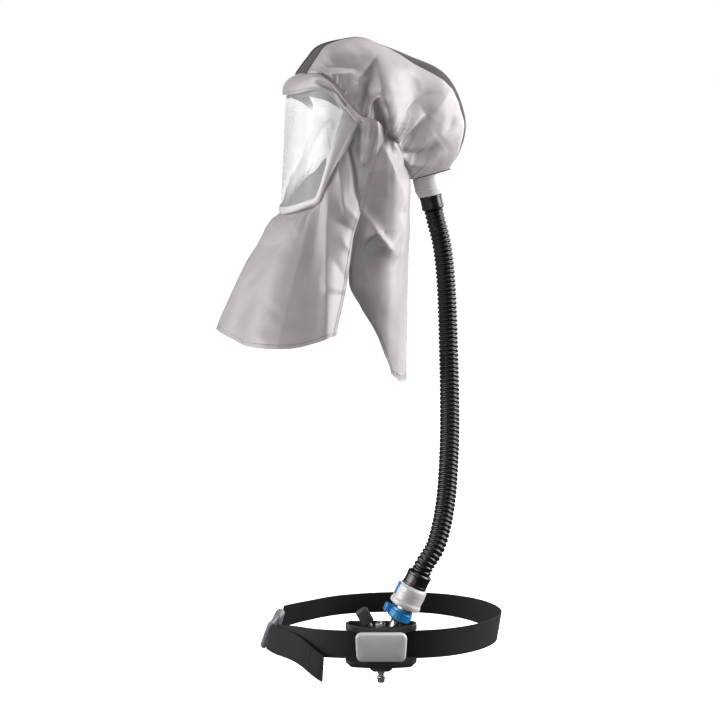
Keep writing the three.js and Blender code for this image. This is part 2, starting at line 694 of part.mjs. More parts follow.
const KNOB_LEAN = -30;
const KNOB_BASE = vector(-12, REGULATOR_Y, -996);
function knobPlace(object) {
  const lean = new THREE.Matrix4().makeRotationY(degrees(KNOB_LEAN));
  lean.setPosition(KNOB_BASE);
  return object.applyMatrix4(lean);
}

function flowKnob() {
  const outline = [
    [4.4, 0],
    [10.5, 0],
    [11.5, 1.5],
    [11.5, 22],
    [11, 26],
    [9, 28],
    [0, 28.6],
    [0, 20],
    [4.4, 20],
  ];
  return knobPlace(turned(outline, 16));
}

function knobStem() {
  const outline = [
    [0, -9],
    [4, -9],
    [4, 19.5],
    [0, 19.5],
  ];
  return knobPlace(turned(outline, 14));
}

function inletNipple() {
  const outline = [
    [2.5, -1102],
    [4.6, -1102],
    [5.4, -1100.5],
    [5.4, -1095],
    [6.8, -1093],
    [6.8, -1090.5],
    [4.4, -1088.5],
    [4.4, -1085.5],
    [6, -1083.5],
    [6, -1079.5],
    [4.1, -1079.5],
    [4.1, -1064],
    [2.5, -1064],
  ];
  return turned(outline, 12).translate(REGULATOR_X, REGULATOR_Y - 1, 0);
}

function outletNut() {
  const nut = turned(
    [
      [4.5, -1005.6],
      [9, -1005.6],
      [9, -995],
      [7, -993],
      [4.5, -993],
    ],
    12,
  );
  return nut.translate(REGULATOR_X - 2, REGULATOR_Y - 6, 0);
}

// The belt, from the near end of its buckle past the regulator and round the loop to the buckle's far
// end: the middle of the webbing, and how far its upper edge leans from the lower one
const BELT = [
  { at: 0, x: -192, y: -14, z: -1056, leanX: 12, leanY: -4 },
  { at: 1, x: -178, y: -54, z: -1051, leanX: 8, leanY: -3 },
  { at: 2, x: -147, y: -94, z: -1044, leanX: 4, leanY: 0 },
  { at: 3, x: -105, y: -135, z: -1040, leanX: 0, leanY: 0 },
  { at: 4, x: -54, y: -155, z: -1038, leanX: 0, leanY: 0 },
  { at: 5, x: 10, y: -157, z: -1038, leanX: 0, leanY: 0 },
  { at: 6, x: 74, y: -155, z: -1038, leanX: 0, leanY: 0 },
  { at: 7, x: 132, y: -138, z: -1038, leanX: 0, leanY: 0 },
  { at: 8, x: 184, y: -100, z: -1038, leanX: 3, leanY: -2 },
  { at: 9, x: 220, y: -45, z: -1038, leanX: 6, leanY: -4 },
  { at: 10, x: 229, y: 16, z: -1038, leanX: 8, leanY: -7 },
  { at: 11, x: 213, y: 80, z: -1038, leanX: 7, leanY: -12 },
  { at: 12, x: 175, y: 137, z: -1038, leanX: 5, leanY: -18 },
  { at: 13, x: 114, y: 178, z: -1038, leanX: 2, leanY: -23 },
  { at: 14, x: 26, y: 190, z: -1038, leanX: 0, leanY: -25 },
  { at: 15, x: -66, y: 165, z: -1038, leanX: 2, leanY: -26 },
  { at: 16, x: -134, y: 108, z: -1038, leanX: 5, leanY: -24 },
  { at: 17, x: -174, y: 66, z: -1039, leanX: 10, leanY: -16 },
];
// The free end comes out of the buckle over the belt and drops away from it
const TAIL = [
  { at: 0, x: -198, y: -16, z: -1057, leanX: 12, leanY: -4 },
  { at: 1, x: -184, y: -58, z: -1055, leanX: 6, leanY: -3 },
  { at: 2, x: -155, y: -98, z: -1054, leanX: 2, leanY: 0 },
  { at: 3, x: -133, y: -124, z: -1059, leanX: 2, leanY: -2 },
  { at: 4, x: -108, y: -148, z: -1074, leanX: 3, leanY: -6 },
  { at: 5, x: -93, y: -161, z: -1081, leanX: 3, leanY: -8 },
];

function webbingStrip(table, count) {
  const last = table.length - 1;
  const surface = (a, b) => {
    const row = readTable(table, "at", a * last);
    const height = Math.sqrt(BELT_WIDTH ** 2 - row.leanX ** 2 - row.leanY ** 2);
    return vector(row.x, row.y, row.z).addScaledVector(vector(row.leanX, row.leanY, height), b - 0.5);
  };
  return wall(surface, count, 1, BELT_THICK);
}

// The buckle hangs between the belt's two ends, its near end lower
const BUCKLE_FAR = vector(-177, 62, -1040);
const BUCKLE_NEAR = vector(-199, -4, -1060);
const BUCKLE_UP = vector(0.34, -0.22, 0.92);
const BUCKLE_HEIGHT = 58;
const BUCKLE_THICK = 8;
function bucklePlace(object) {
  const lengthwise = BUCKLE_NEAR.clone().sub(BUCKLE_FAR).normalize();
  const outward = lengthwise.clone().cross(BUCKLE_UP).normalize();
  const upward = outward.clone().cross(lengthwise);
  const turn = new THREE.Matrix4().makeBasis(lengthwise, upward, outward);
  turn.setPosition(BUCKLE_FAR);
  return object.applyMatrix4(turn);
}

function buckleFrame() {
  const length = 38;
  const frame = plate(length, BUCKLE_HEIGHT, 5, BUCKLE_THICK, 1.5).translate(53, 0, -BUCKLE_THICK / 2);
  const window = plate(length - 18, BELT_WIDTH + 1, 2, 40).translate(53, 0, -20);
  return bucklePlace(cut(frame, window));
}

function buckleTongue() {
  const body = plate(34, BUCKLE_HEIGHT - 6, 9, BUCKLE_THICK + 2, 2);
  body.translate(16.5, 0, -BUCKLE_THICK / 2 - 1);
  const slot = plate(7, BELT_WIDTH - 8, 2, 40).translate(22, 0, -20);
  return bucklePlace(cut(body, slot));
}

// The hose's own line, in the belt's frame, from the hood's cuff down to the regulator's
const HOSE_ROUTE = [
  [120, 29, -335],
  [126, 27, -375],
  [130, 22, -425],
  [132, 13, -475],
  [133, 0, -525],
  [134, -18, -578],
  [134, -40, -630],
  [133, -66, -682],
  [130, -93, -732],
  [125, -120, -782],
  [116, -145, -828],
  [104, -162, -864],
].map(([x, y, z]) => vector(x, y, z));

function breathingHose() {
  const straight = 16; // the hose leaves each cuff in line with it
  const top = -CONNECTOR_LENGTH - CUFF_LENGTH - 2 * JOIN_GAP;
  const foot = COUPLING_TOP + CUFF_LENGTH + 2 * JOIN_GAP;
  const path = new THREE.CatmullRomCurve3([
    toBeltFrame(inletPlace(vector(0, 0, top))),
    toBeltFrame(inletPlace(vector(0, 0, top - straight))),
    ...HOSE_ROUTE,
    stemPlace(vector(0, 0, foot + straight)),
    stemPlace(vector(0, 0, foot)),
  ]);
  const sides = 9;
  const section = new THREE.Shape();
  for (let i = 0; i < sides; i += 1) {
    const angle = (2 * Math.PI * i) / sides;
    const corner = [HOSE_RADIUS * Math.cos(angle), HOSE_RADIUS * Math.sin(angle)];
    if (i === 0) section.moveTo(...corner);
    else section.lineTo(...corner);
  }
  return bare(new THREE.ExtrudeGeometry(section, { steps: 26, extrudePath: path }));
}

const toBeltFrame = (point) => point.applyAxisAngle(vector(0, 0, 1), degrees(-BELT_TURN));

// Assembly
const hood = new THREE.Group();
const belt = new THREE.Group();
belt.rotation.z = degrees(BELT_TURN);
hood.add(belt);

function piece(parent, name, geometry, material) {
  const mesh = new THREE.Mesh(bare(geometry), material.clone());
  mesh.name = name;
  parent.add(mesh);
}

piece(hood, "crown_left", crownPanel(1), greyCloth);
piece(hood, "crown_right", crownPanel(-1), greyCloth);
piece(hood, "crown_gusset", crownGusset(), ribbedCloth);
piece(hood, "inlet_panel", inletPanel(), greyCloth);
piece(hood, "brow_band", browBand(), greyCloth);
piece(hood, "brow_facing", browFacing(), ribbedCloth);
piece(hood, "visor", visor(), clearSheet);
piece(hood, "visor_frame", visorFrame(), frameVinyl);
piece(hood, "chin_collar", chinCollar(), greyCloth);
piece(hood, "bib", bib(), greyCloth);
piece(hood, "nape_flap", napeFlap(), greyCloth);
piece(hood, "inlet_connector", inletConnector(), whitePlastic);
piece(
  hood,
  "upper_cuff",
  inletPlace(hoseCuff(20.5).translate(0, 0, -CONNECTOR_LENGTH - JOIN_GAP)),
  blackRubber,
);
piece(belt, "breathing_hose", breathingHose(), blackRubber);
piece(belt, "lower_cuff", lowerCuff(), blackRubber);
piece(belt, "hose_coupling", hoseCoupling(), whitePlastic);
piece(belt, "grip_inlay", gripInlay(), bluePlastic);
piece(belt, "locking_ring", lockingRing(), bluePlastic);
piece(belt, "outlet_stem", outletStem(), steel);
piece(belt, "outlet_nut", outletNut(), steel);
piece(belt, "regulator_housing", regulatorHousing(), blackPlastic);
piece(belt, "regulator_cover", regulatorCover(), greyPlastic);
piece(belt, "flow_knob", flowKnob(), blackRubber);
piece(belt, "knob_stem", knobStem(), steel);
piece(belt, "inlet_nipple", inletNipple(), steel);
piece(belt, "waist_belt", webbingStrip(BELT, 46), webbing);
piece(belt, "belt_tail", webbingStrip(TAIL, 14), webbing);
piece(belt, "buckle_frame", buckleFrame(), greyPlastic);
piece(belt, "buckle_tongue", buckleTongue(), greyPlastic);

export default hood;
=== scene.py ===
import math
from types import SimpleNamespace

import bpy
import numpy as np
from mathutils import Matrix, Vector, noise


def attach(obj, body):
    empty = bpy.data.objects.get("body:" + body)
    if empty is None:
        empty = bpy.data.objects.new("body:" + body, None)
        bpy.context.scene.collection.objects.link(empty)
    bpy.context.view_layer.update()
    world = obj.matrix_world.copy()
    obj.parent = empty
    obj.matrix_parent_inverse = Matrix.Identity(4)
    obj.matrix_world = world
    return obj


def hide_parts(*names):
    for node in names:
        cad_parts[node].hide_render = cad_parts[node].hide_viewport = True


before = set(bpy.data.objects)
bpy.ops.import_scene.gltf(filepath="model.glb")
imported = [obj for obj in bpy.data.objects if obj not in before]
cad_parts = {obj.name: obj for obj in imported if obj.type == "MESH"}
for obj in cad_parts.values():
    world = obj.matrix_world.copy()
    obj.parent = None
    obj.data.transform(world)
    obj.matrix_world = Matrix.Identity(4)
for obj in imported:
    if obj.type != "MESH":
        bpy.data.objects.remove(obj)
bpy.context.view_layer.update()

# An air-fed respirator hood. Sizes are in millimetres in the part's own frame, with the face along -Y and
# the wearer's left along +X, and become metres where a mesh is made.
MM = 0.001
CLOTH = 1.6  # wall of the coated cloth
AXIS_Y = -50  # the hood's upright axis, through the neck
VISOR_RADIUS = 113
VISOR_SHEET = 1
HOSE_RADIUS = 17.6
BELT_WIDTH = 50
BELT_THICK = 2.2
BELT_TURN = 75  # the regulator sits this far round from the front

# Camera, looking at the wearer's left side from a little above. Its two level directions are towards it
# from the wearer, and to the right in its picture.
CAMERA_TURN = math.radians(75)
CAMERA_PITCH = math.radians(6)
CAMERA_REACH = 3800
CAMERA_ASIDE = -27
CAMERA_Z = -151
CAMERA_LENS = 105.5
SENSOR_WIDTH = 36
TOWARD = np.array([math.sin(CAMERA_TURN), -math.cos(CAMERA_TURN), 0])
ASIDE = np.array([math.cos(CAMERA_TURN), math.sin(CAMERA_TURN), 0])
EYE = TOWARD * CAMERA_REACH + ASIDE * CAMERA_ASIDE + (0, 0, CAMERA_Z)
GAZE = -TOWARD * math.cos(CAMERA_PITCH) - (0, 0, math.sin(CAMERA_PITCH))

# The wearer's two sides. The far side of the hood is made by a mirror.
SIDES = ((1, "left"), (-1, "right"))
MIRROR = np.array([-1, 1, 1])


# Tables: named columns, read at any place on a smooth curve through the rows
def table(columns, *rows):
    return {name: np.array(values, float) for name, values in zip(columns.split(), zip(*rows))}


def read(rows, key, at):
    keys = rows[key]
    last = len(keys) - 1
    at = np.clip(at, keys[0], keys[-1])
    i = np.clip(np.searchsorted(keys, at, side="right") - 1, 0, last - 1)
    share = (at - keys[i]) / (keys[i + 1] - keys[i])
    before = np.maximum(i - 1, 0)
    after = np.minimum(i + 2, last)
    found = {}
    for name, column in rows.items():
        change = column[i + 1] - column[i]
        start_slope = (column[i + 1] - column[before]) / 2
        end_slope = (column[after] - column[i]) / 2
        square = 3 * change - 2 * start_slope - end_slope
        cube = start_slope + end_slope - 2 * change
        found[name] = column[i] + share * (start_slope + share * (square + share * cube))
    return SimpleNamespace(**found)


def mix(a, b, share):
    return a + (b - a) * share


def points(x, y, z):
    return np.stack(np.broadcast_arrays(x, y, z), axis=-1).astype(float)


def unit(vectors):
    return vectors / np.maximum(np.linalg.norm(vectors, axis=-1, keepdims=True), 1e-9)


def grid(along_count, across_count):
    along = np.linspace(0, 1, along_count + 1)[:, None]
    across = np.linspace(0, 1, across_count + 1)[None, :]
    return np.broadcast_arrays(along, across)


def lengths(surface, axis):
    """How far along its own grid line each point of a surface is."""
    steps = np.linalg.norm(np.diff(surface, axis=axis), axis=-1)
    return np.concatenate([np.zeros_like(np.take(steps, [0], axis)), np.cumsum(steps, axis)], axis)


def normals(surface, side):
    """Outward normals of a surface. side is 1 where along and then across turn counter-clockwise as seen
    from outside, and -1 where they turn clockwise."""
    return unit(np.cross(np.gradient(surface, axis=0), np.gradient(surface, axis=1))) * side


def on_line(at, keys, line, **options):
    """Places on a line whose points have these keys."""
    return np.stack([np.interp(at, keys, line[:, k], **options) for k in range(3)], axis=-1)


def blend(t, low, high, before, after):
    return before + (after - before) * (t - low) / (high - low)


def smooth_line(corners, per_span=24):
    """A curve through the corners that stays smooth where they are unevenly spaced."""
    corners = np.asarray(corners, float)
    ends = [2 * corners[0] - corners[1], *corners, 2 * corners[-1] - corners[-2]]
    line = []
    for a, b, c, d in zip(ends, ends[1:], ends[2:], ends[3:]):
        k0, k1, k2, k3 = np.cumsum([0] + [np.linalg.norm(q - p) ** 0.5 for p, q in ((a, b), (b, c), (c, d))])
        t = np.linspace(k1, k2, per_span, endpoint=False)[:, None]
        middle = blend(t, k1, k2, b, c)
        early = blend(t, k0, k2, blend(t, k0, k1, a, b), middle)
        late = blend(t, k1, k3, middle, blend(t, k2, k3, c, d))
        line.append(blend(t, k1, k2, early, late))
    return np.concatenate(line + [corners[-1:]])


# Meshes
def add_piece(name, vertices, faces, material, slot, *nodes, body="hood", uv=None, sharp=38):
    mesh = bpy.data.meshes.new(name)
    mesh.from_pydata((np.asarray(vertices, float) * MM).tolist(), [], faces)
    mesh.polygons.foreach_set("use_smooth", [True] * len(mesh.polygons))
    mesh.set_sharp_from_angle(angle=math.radians(sharp))
    if uv is not None:
        corners = np.zeros(len(mesh.loops), np.int32)
        mesh.loops.foreach_get("vertex_index", corners)
        layer = mesh.uv_layers.new(name="cloth")
        layer.data.foreach_set("uv", (np.asarray(uv)[corners] * MM).ravel())
    mesh.materials.append(material)
    piece = bpy.data.objects.new(name, mesh)
    bpy.context.scene.collection.objects.link(piece)
    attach(piece, body)
    if nodes:
        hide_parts(*nodes)
    return piece


def joined(*parts):
    vertices, faces = [], []
    for part_vertices, part_faces in parts:
        start = sum(len(v) for v in vertices)
        vertices.append(np.asarray(part_vertices))
        faces += [tuple(v + start for v in face) for face in part_faces]
    return np.concatenate(vertices), faces


def grid_faces(rows, columns, start=0):
    first = np.arange(rows - 1)[:, None] * columns + np.arange(columns - 1)[None, :] + start
    return np.stack([first, first + columns, first + columns + 1, first + 1], axis=-1).reshape(-1, 4)


def rim_faces(rows, columns, half):
    """Quads that close a wall all round its edge, between its outside and its inside."""
    top = np.arange(columns)
    right = np.arange(rows) * columns + columns - 1
    bottom = (rows - 1) * columns + np.arange(columns)[::-1]
    left = np.arange(rows)[::-1] * columns
    loop = np.concatenate([top[:-1], right[:-1], bottom[:-1], left[:-1]])
    ahead = np.roll(loop, -1)
    return np.stack([loop, ahead, ahead + half, loop + half], axis=-1)


def add_cloth(name, outside, thickness, side, material, slot, *nodes, lining=None):
    """A sewn piece from the grid of its outside. side is as for its normals. A lining is the finish of its
    inside."""
    rows, columns = outside.shape[:2]
    inside = outside - normals(outside, side) * thickness
    half = rows * columns
    outer = grid_faces(rows, columns)
    inner = grid_faces(rows, columns, half)[:, ::-1]
    faces = np.concatenate([outer, inner, rim_faces(rows, columns, half)])
    if side < 0:
        faces = faces[:, ::-1]
    uv = np.stack([lengths(outside, 0), lengths(outside, 1)], axis=-1).reshape(-1, 2)
    vertices = np.concatenate([outside.reshape(-1, 3), inside.reshape(-1, 3)])
    piece = add_piece(
        name, vertices, faces.tolist(), material, slot, *nodes, uv=np.concatenate([uv, uv]), sharp=70
    )
    if lining:
        piece.data.materials.append(lining)
        on_inside = np.arange(len(faces)) // len(outer) == 1
        piece.data.polygons.foreach_set("material_index", on_inside.astype(np.int32))
    return piece


# Sewing: lock stitches 3 mm long are drawn 4.5 mm long and as thick as they need to be to show
STITCH = 4.5
THREAD_RADIUS = 0.45


def seam_line(surface, side, inset):
    """A line that runs that far in from the last column of a sewn piece, just proud of its outside."""
    raised = surface + normals(surface, side) * THREAD_RADIUS / 2
    rows = zip(raised, lengths(surface, 1))
    return np.array([on_line(along[-1] - inset, along, row) for row, along in rows])


def sew(name, lines, material, slot):
    """Stitches along lines: short lengths of thread that dip into the cloth at both ends."""
    stitches = []
    for line in lines:
        knots = spaced(line, STITCH)
        for start, end in zip(knots, knots[1:]):
            thread = mix(start, end, np.array([0.1, 0.3, 0.7, 0.9])[:, None])
            stitches.append(tube(thread, THREAD_RADIUS * np.array([0.4, 1, 1, 0.4]), 5))
    add_piece(name, *joined(*stitches), material, slot, sharp=60)


# Folds are drawn on the side view that the camera has, in millimetres on the plane through the head's crown.
# Each is a line of places with the widths of its left and right flanks and its rise.
def side_view(surface):
    upward = np.cross(ASIDE, GAZE)

    def shown(place):
        depth = (place - EYE) @ GAZE
        return np.stack([(place - EYE) @ ASIDE / depth, (place - EYE) @ upward / depth], axis=-1)

    return (shown(surface) - shown(np.zeros(3))) * CAMERA_REACH


CRISPNESS = 0.62  # 1 gives a round fold, and less gives a crease between flat flanks


def fold_height(surface, folds, crispness=CRISPNESS):
    seen = side_view(surface)
    height = np.zeros(seen.shape[:-1])
    for fold in folds:
        rows = smooth_line(fold, 5)
        nearest = np.full(height.shape, np.inf)
        rise = np.zeros(height.shape)
        for start, end in zip(rows, rows[1:]):
            line = end[:2] - start[:2]
            span = np.linalg.norm(line)
            off = seen - start[:2]
            share = off @ line / span**2
            within = np.clip(share, 0, 1)
            left, right, high = (mix(start[k], end[k], within) for k in (2, 3, 4))
            aside = (off[..., 1] * line[0] - off[..., 0] * line[1]) / span
            across = aside / np.where(aside > 0, left, right)
            beyond = (share - within) * span / (0.5 * (left + right))
            distance = across**2 + beyond**2
            rise = np.where(distance < nearest, high, rise)
            nearest = np.minimum(distance, nearest)
        height += rise * np.exp(-(nearest**crispness))
    return height


def ease(share):
    """From 0 to 1, with a gentle start and end."""
    share = np.clip(share, 0, 1)
    return share * share * (3 - 2 * share)


def fade(share, margin):
    """0 at both edges of a piece and 1 from a margin inwards."""
    return ease(np.minimum(share, 1 - share) / margin)


def crumple(surface, size, rise, seed):
    """Faint unevenness of handled cloth, of that size across and that height."""
    shift = Vector((seed * 17.3, seed * 5.1, seed * 9.7))
    flat = surface.reshape(-1, 3) / size
    heights = [noise.noise(Vector(p) + shift) + 0.5 * noise.noise(Vector(p) * 2.1 + shift) for p in flat]
    return rise * np.array(heights).reshape(surface.shape[:-1])


def pleats(along, away, pitch, reach, rise):
    """Small pleats that run out from a gathered seam and die away."""
    turn = 2 * np.pi * along / pitch
    wave = np.sin(turn) + 0.6 * np.sin(1.62 * turn + 1.3) + 0.3 * np.sin(2.7 * turn + 0.4)
    return rise * wave * np.exp(-away / reach) * np.clip(away / 3, 0, 1)


# Colours and materials
def linear(hex_colour):
    """An sRGB hex colour as linear red, green and blue, with alpha."""
    channels = [int(hex_colour[i : i + 2], 16) / 255 for i in (1, 3, 5)]
    return [c / 12.92 if c <= 0.04045 else ((c + 0.055) / 1.055) ** 2.4 for c in channels] + [1.0]


def add_node(material, kind, sockets, output=0, **settings):
    """A node with its settings. A socket takes a plain value, or the output that is linked to it."""
    made = material.node_tree.nodes.new("ShaderNode" + kind)
    for name, value in settings.items():
        setattr(made, name, value)
    for name, value in sockets.items():
        if isinstance(value, bpy.types.NodeSocket):
            material.node_tree.links.new(value, made.inputs[name])
        else:
            made.inputs[name].default_value = value
    return made.outputs[output]


def start_material(name, **sockets):
    """A material whose shader has these constants in the sockets of those names."""
    material = bpy.data.materials.new(name)
    material.use_nodes = True
    shader = material.node_tree.nodes["Principled BSDF"]
    for socket, value in sockets.items():
        shader.inputs[socket.replace("_", " ")].default_value = value
    return material


def link_shader(material, **outputs):
    """The material, with outputs of its nodes linked to the shader's sockets of those names."""
    shader = material.node_tree.nodes["Principled BSDF"]
    for socket, output in outputs.items():
        material.node_tree.links.new(output, shader.inputs[socket.replace("_", " ")])
    return material


def noise_scale(size):
    """The scale of a noise whose patches are that many millimetres across."""
    return 1 / (size * MM)


def wave_scale(pitch):
    """The scale of a wave whose bands are that many millimetres apart."""
    return 2 * math.pi / (pitch * MM) / 20


def pu_coated_nylon():
    """Woven nylon with a polyurethane coat: a soft satin sheet, slightly mottled by handling, whose weave
    shows only as a faint tooth. Threads of 0.4 mm are drawn 1.6 mm apart, so that they show at all."""
    material = start_material("PU_coated_nylon", Sheen_Weight=0.12, Sheen_Roughness=0.4, IOR=1.5)
    place = add_node(material, "TexCoord", {}, "Object")
    mottle = add_node(material, "TexNoise", {"Vector": place, "Scale": noise_scale(55), "Detail": 3.0})
    shades = {0: mottle, 6: linear("#a8a1a2"), 7: linear("#bdb6b7")}
    colour = add_node(material, "Mix", shades, 2, data_type="RGBA")
    limits = {"Value": mottle, "From Min": 0.3, "From Max": 0.7, "To Min": 0.36, "To Max": 0.46}
    gloss = add_node(material, "MapRange", limits)
    threads = {"Vector": add_node(material, "UVMap", {}, uv_map="cloth"), "Scale": wave_scale(1.6)}
    warp = add_node(material, "TexWave", threads, "Fac")
    weft = add_node(material, "TexWave", threads, "Fac", bands_direction="Y")
    weave = add_node(material, "Math", {0: warp, 1: weft}, operation="MULTIPLY")
    tooth = add_node(material, "Bump", {"Height": weave, "Strength": 0.12, "Distance": 0.00015})
    crease = add_node(material, "TexNoise", {"Vector": place, "Scale": noise_scale(12), "Detail": 4.0})
    dents = {"Height": crease, "Strength": 0.25, "Distance": 0.0008, "Normal": tooth}
    relief = add_node(material, "Bump", dents)
    return link_shader(material, Base_Color=colour, Roughness=gloss, Normal=relief)


def rib_knit():
    """Stretch knit of the gusset: darker, matt and finely ribbed along its length. Ribs of 1 mm are drawn
    2.4 mm apart, so that they show."""
    material = start_material("polyester_rib_knit", Roughness=0.85, Sheen_Weight=0.1, IOR=1.5)
    threads = add_node(material, "UVMap", {}, uv_map="cloth")
    bands = {"Vector": threads, "Scale": wave_scale(2.4), "Distortion": 0.6}
    ribs = add_node(material, "TexWave", bands, "Fac", bands_direction="Y")
    shades = {0: ribs, 6: linear("#2e2829"), 7: linear("#4e4648")}
    colour = add_node(material, "Mix", shades, 2, data_type="RGBA")
    relief = add_node(material, "Bump", {"Height": ribs, "Strength": 0.5, "Distance": 0.0006})
    return link_shader(material, Base_Color=colour, Normal=relief)


PAINTED_GLARE_SLANT = math.radians(41)  # the painted glare on the visor leans this far from upright
PAINTED_GLARE_RISE = (30, 150)  # across its slant it comes up between these
PAINTED_GLARE_FALL = (199, 182)  # and dies away between these
PAINTED_GLARE_CHEEK = (0, 38)  # none over the middle of the face, and all of it from here outwards
PAINTED_GLARE_TOP = (-82, -108)  # it fades out upwards, between these heights
PAINTED_GLARE_VEIL = 0.42  # how much of what is behind the painted glare it hides, and the rest of the film
FILM_VEIL = 0.15


def clear_petg():
    """Bent clear film, a little milky, with a painted glare: a paler band slantwise over each side of the
    face.
    """
    glass = {"Base_Color": linear("#f8fafa"), "IOR": 1.57, "Specular_IOR_Level": 0.8}
    material = start_material("clear_PETG_film", **glass)
    place = add_node(material, "TexCoord", {}, "Object")
    sideways = add_node(material, "SeparateXYZ", {"Vector": place}, "X")
    sideways = add_node(material, "Math", {0: sideways}, operation="ABSOLUTE")
    upward = add_node(material, "SeparateXYZ", {"Vector": place}, "Z")
    slant = add_node(material, "Math", {0: sideways, 1: math.cos(PAINTED_GLARE_SLANT)}, operation="MULTIPLY")
    lean = {0: upward, 1: -math.sin(PAINTED_GLARE_SLANT), 2: slant}
    slant = add_node(material, "Math", lean, operation="MULTIPLY_ADD")
    # painted glare: where the film is paler and hides more of what is behind it, standing in for a reflection
    painted_glare = 1.0
    ramps = ((slant, PAINTED_GLARE_RISE), (slant, PAINTED_GLARE_FALL), (upward, PAINTED_GLARE_TOP), (sideways, PAINTED_GLARE_CHEEK))
    for value, (start, end) in ramps:
        limits = {"Value": value, "From Min": start * MM, "From Max": end * MM}
        ramp = add_node(material, "MapRange", limits, interpolation_type="SMOOTHSTEP")
        painted_glare = add_node(material, "Math", {0: ramp, 1: painted_glare}, operation="MULTIPLY")
    milk_and_painted_glare = add_node(material, "MapRange", {"Value": painted_glare, "To Min": FILM_VEIL, "To Max": PAINTED_GLARE_VEIL})
    scuffs = add_node(material, "TexNoise", {"Vector": place, "Scale": noise_scale(30), "Detail": 2.0})
    gloss = add_node(material, "MapRange", {"Value": scuffs, "To Min": 0.24, "To Max": 0.32})
    return link_shader(material, Alpha=milk_and_painted_glare, Roughness=gloss)


def moulded(name, shade, pale, roughness, grain, depth, **sockets):
    """A moulded plastic or rubber: one colour, a little paler where it is handled, over the fine spark
    grain of its mould, that many millimetres across and deep."""
    material = start_material(name, **sockets)
    place = add_node(material, "TexCoord", {}, "Object")
    handled = add_node(material, "TexNoise", {"Vector": place, "Scale": noise_scale(20), "Detail": 3.0})
    shades = {0: handled, 6: linear(shade), 7: linear(pale)}
    colour = add_node(material, "Mix", shades, 2, data_type="RGBA")
    smooth, rough = roughness - 0.04, roughness + 0.05
    limits = {"Value": handled, "From Min": 0.3, "From Max": 0.7, "To Min": smooth, "To Max": rough}
    gloss = add_node(material, "MapRange", limits)
    sparks = add_node(material, "TexNoise", {"Vector": place, "Scale": noise_scale(grain), "Detail": 2.0})
    relief = add_node(material, "Bump", {"Height": sparks, "Strength": 0.3, "Distance": depth * MM})
    return link_shader(material, Base_Color=colour, Roughness=gloss, Normal=relief)


# Strength of the painted glow: an emission on the lining that stands in for light through the cloth
PAINTED_GLOW = 0.52
GLOW_FOOT = -330  # the painted glow: below the head part there is none, and all of it from here up
GLOW_FULL = -250


def lining_with_painted_glow():
    """The cloth's pale uncoated back, with a painted glow: an emission that stands in for the room's light
    coming through the thin cloth, and shows as a faint glow inside the head part."""
    sockets = {"IOR": 1.5, "Emission_Strength": PAINTED_GLOW}
    material = moulded("nylon_back_with_painted_glow", "#a5a3a3", "#b0aeae", 0.9, 1.6, 0.1, **sockets)
    place = add_node(material, "TexCoord", {}, "Object")
    height = add_node(material, "SeparateXYZ", {"Vector": place}, "Z")
    limits = {"Value": height, "From Min": GLOW_FOOT * MM, "From Max": GLOW_FULL * MM}
    share = add_node(material, "MapRange", limits)
    shades = {0: share, 6: linear("#000000"), 7: linear("#ffffff")}
    return link_shader(material, Emission_Color=add_node(material, "Mix", shades, 2, data_type="RGBA"))


def plated_steel():
    """Turned and nickel-plated steel: bright, with the fine rings that the lathe left, drawn 0.8 mm apart."""
    material = start_material("nickel_plated_steel", Metallic=1.0)
    place = add_node(material, "TexCoord", {}, "Object")
    bands = {"Vector": place, "Scale": wave_scale(0.8), "Distortion": 0.4}
    rings = add_node(material, "TexWave", bands, "Fac", bands_direction="Z")
    tarnish = add_node(material, "TexNoise", {"Vector": place, "Scale": noise_scale(6), "Detail": 4.0})
    shades = {0: tarnish, 6: linear("#a7a19b"), 7: linear("#dedad5")}
    colour = add_node(material, "Mix", shades, 2, data_type="RGBA")
    gloss = add_node(material, "MapRange", {"Value": tarnish, "To Min": 0.14, "To Max": 0.34})
    relief = add_node(material, "Bump", {"Height": rings, "Strength": 0.2, "Distance": 0.0001})
    return link_shader(material, Base_Color=colour, Roughness=gloss, Normal=relief)


def nylon_webbing():
    """Black woven webbing: ribs across the strap, with a faint gloss on the thread backs. Threads of 1 mm
    are drawn 4 mm apart, so that they show."""
    material = start_material("nylon_webbing", Sheen_Weight=0.04, IOR=1.53, Specular_IOR_Level=0.3)
    threads = add_node(material, "UVMap", {}, uv_map="cloth")
    bands = {"Vector": threads, "Scale": wave_scale(4), "Distortion": 0.3}
    ribs = add_node(material, "TexWave", bands, "Fac")
    shades = {0: ribs, 6: linear("#0c0b0e"), 7: linear("#1d1b20")}
    colour = add_node(material, "Mix", shades, 2, data_type="RGBA")
    gloss = add_node(material, "MapRange", {"Value": ribs, "To Min": 0.74, "To Max": 0.6})
    relief = add_node(material, "Bump", {"Height": ribs, "Strength": 0.35, "Distance": 0.0006})
    return link_shader(material, Base_Color=colour, Roughness=gloss, Normal=relief)


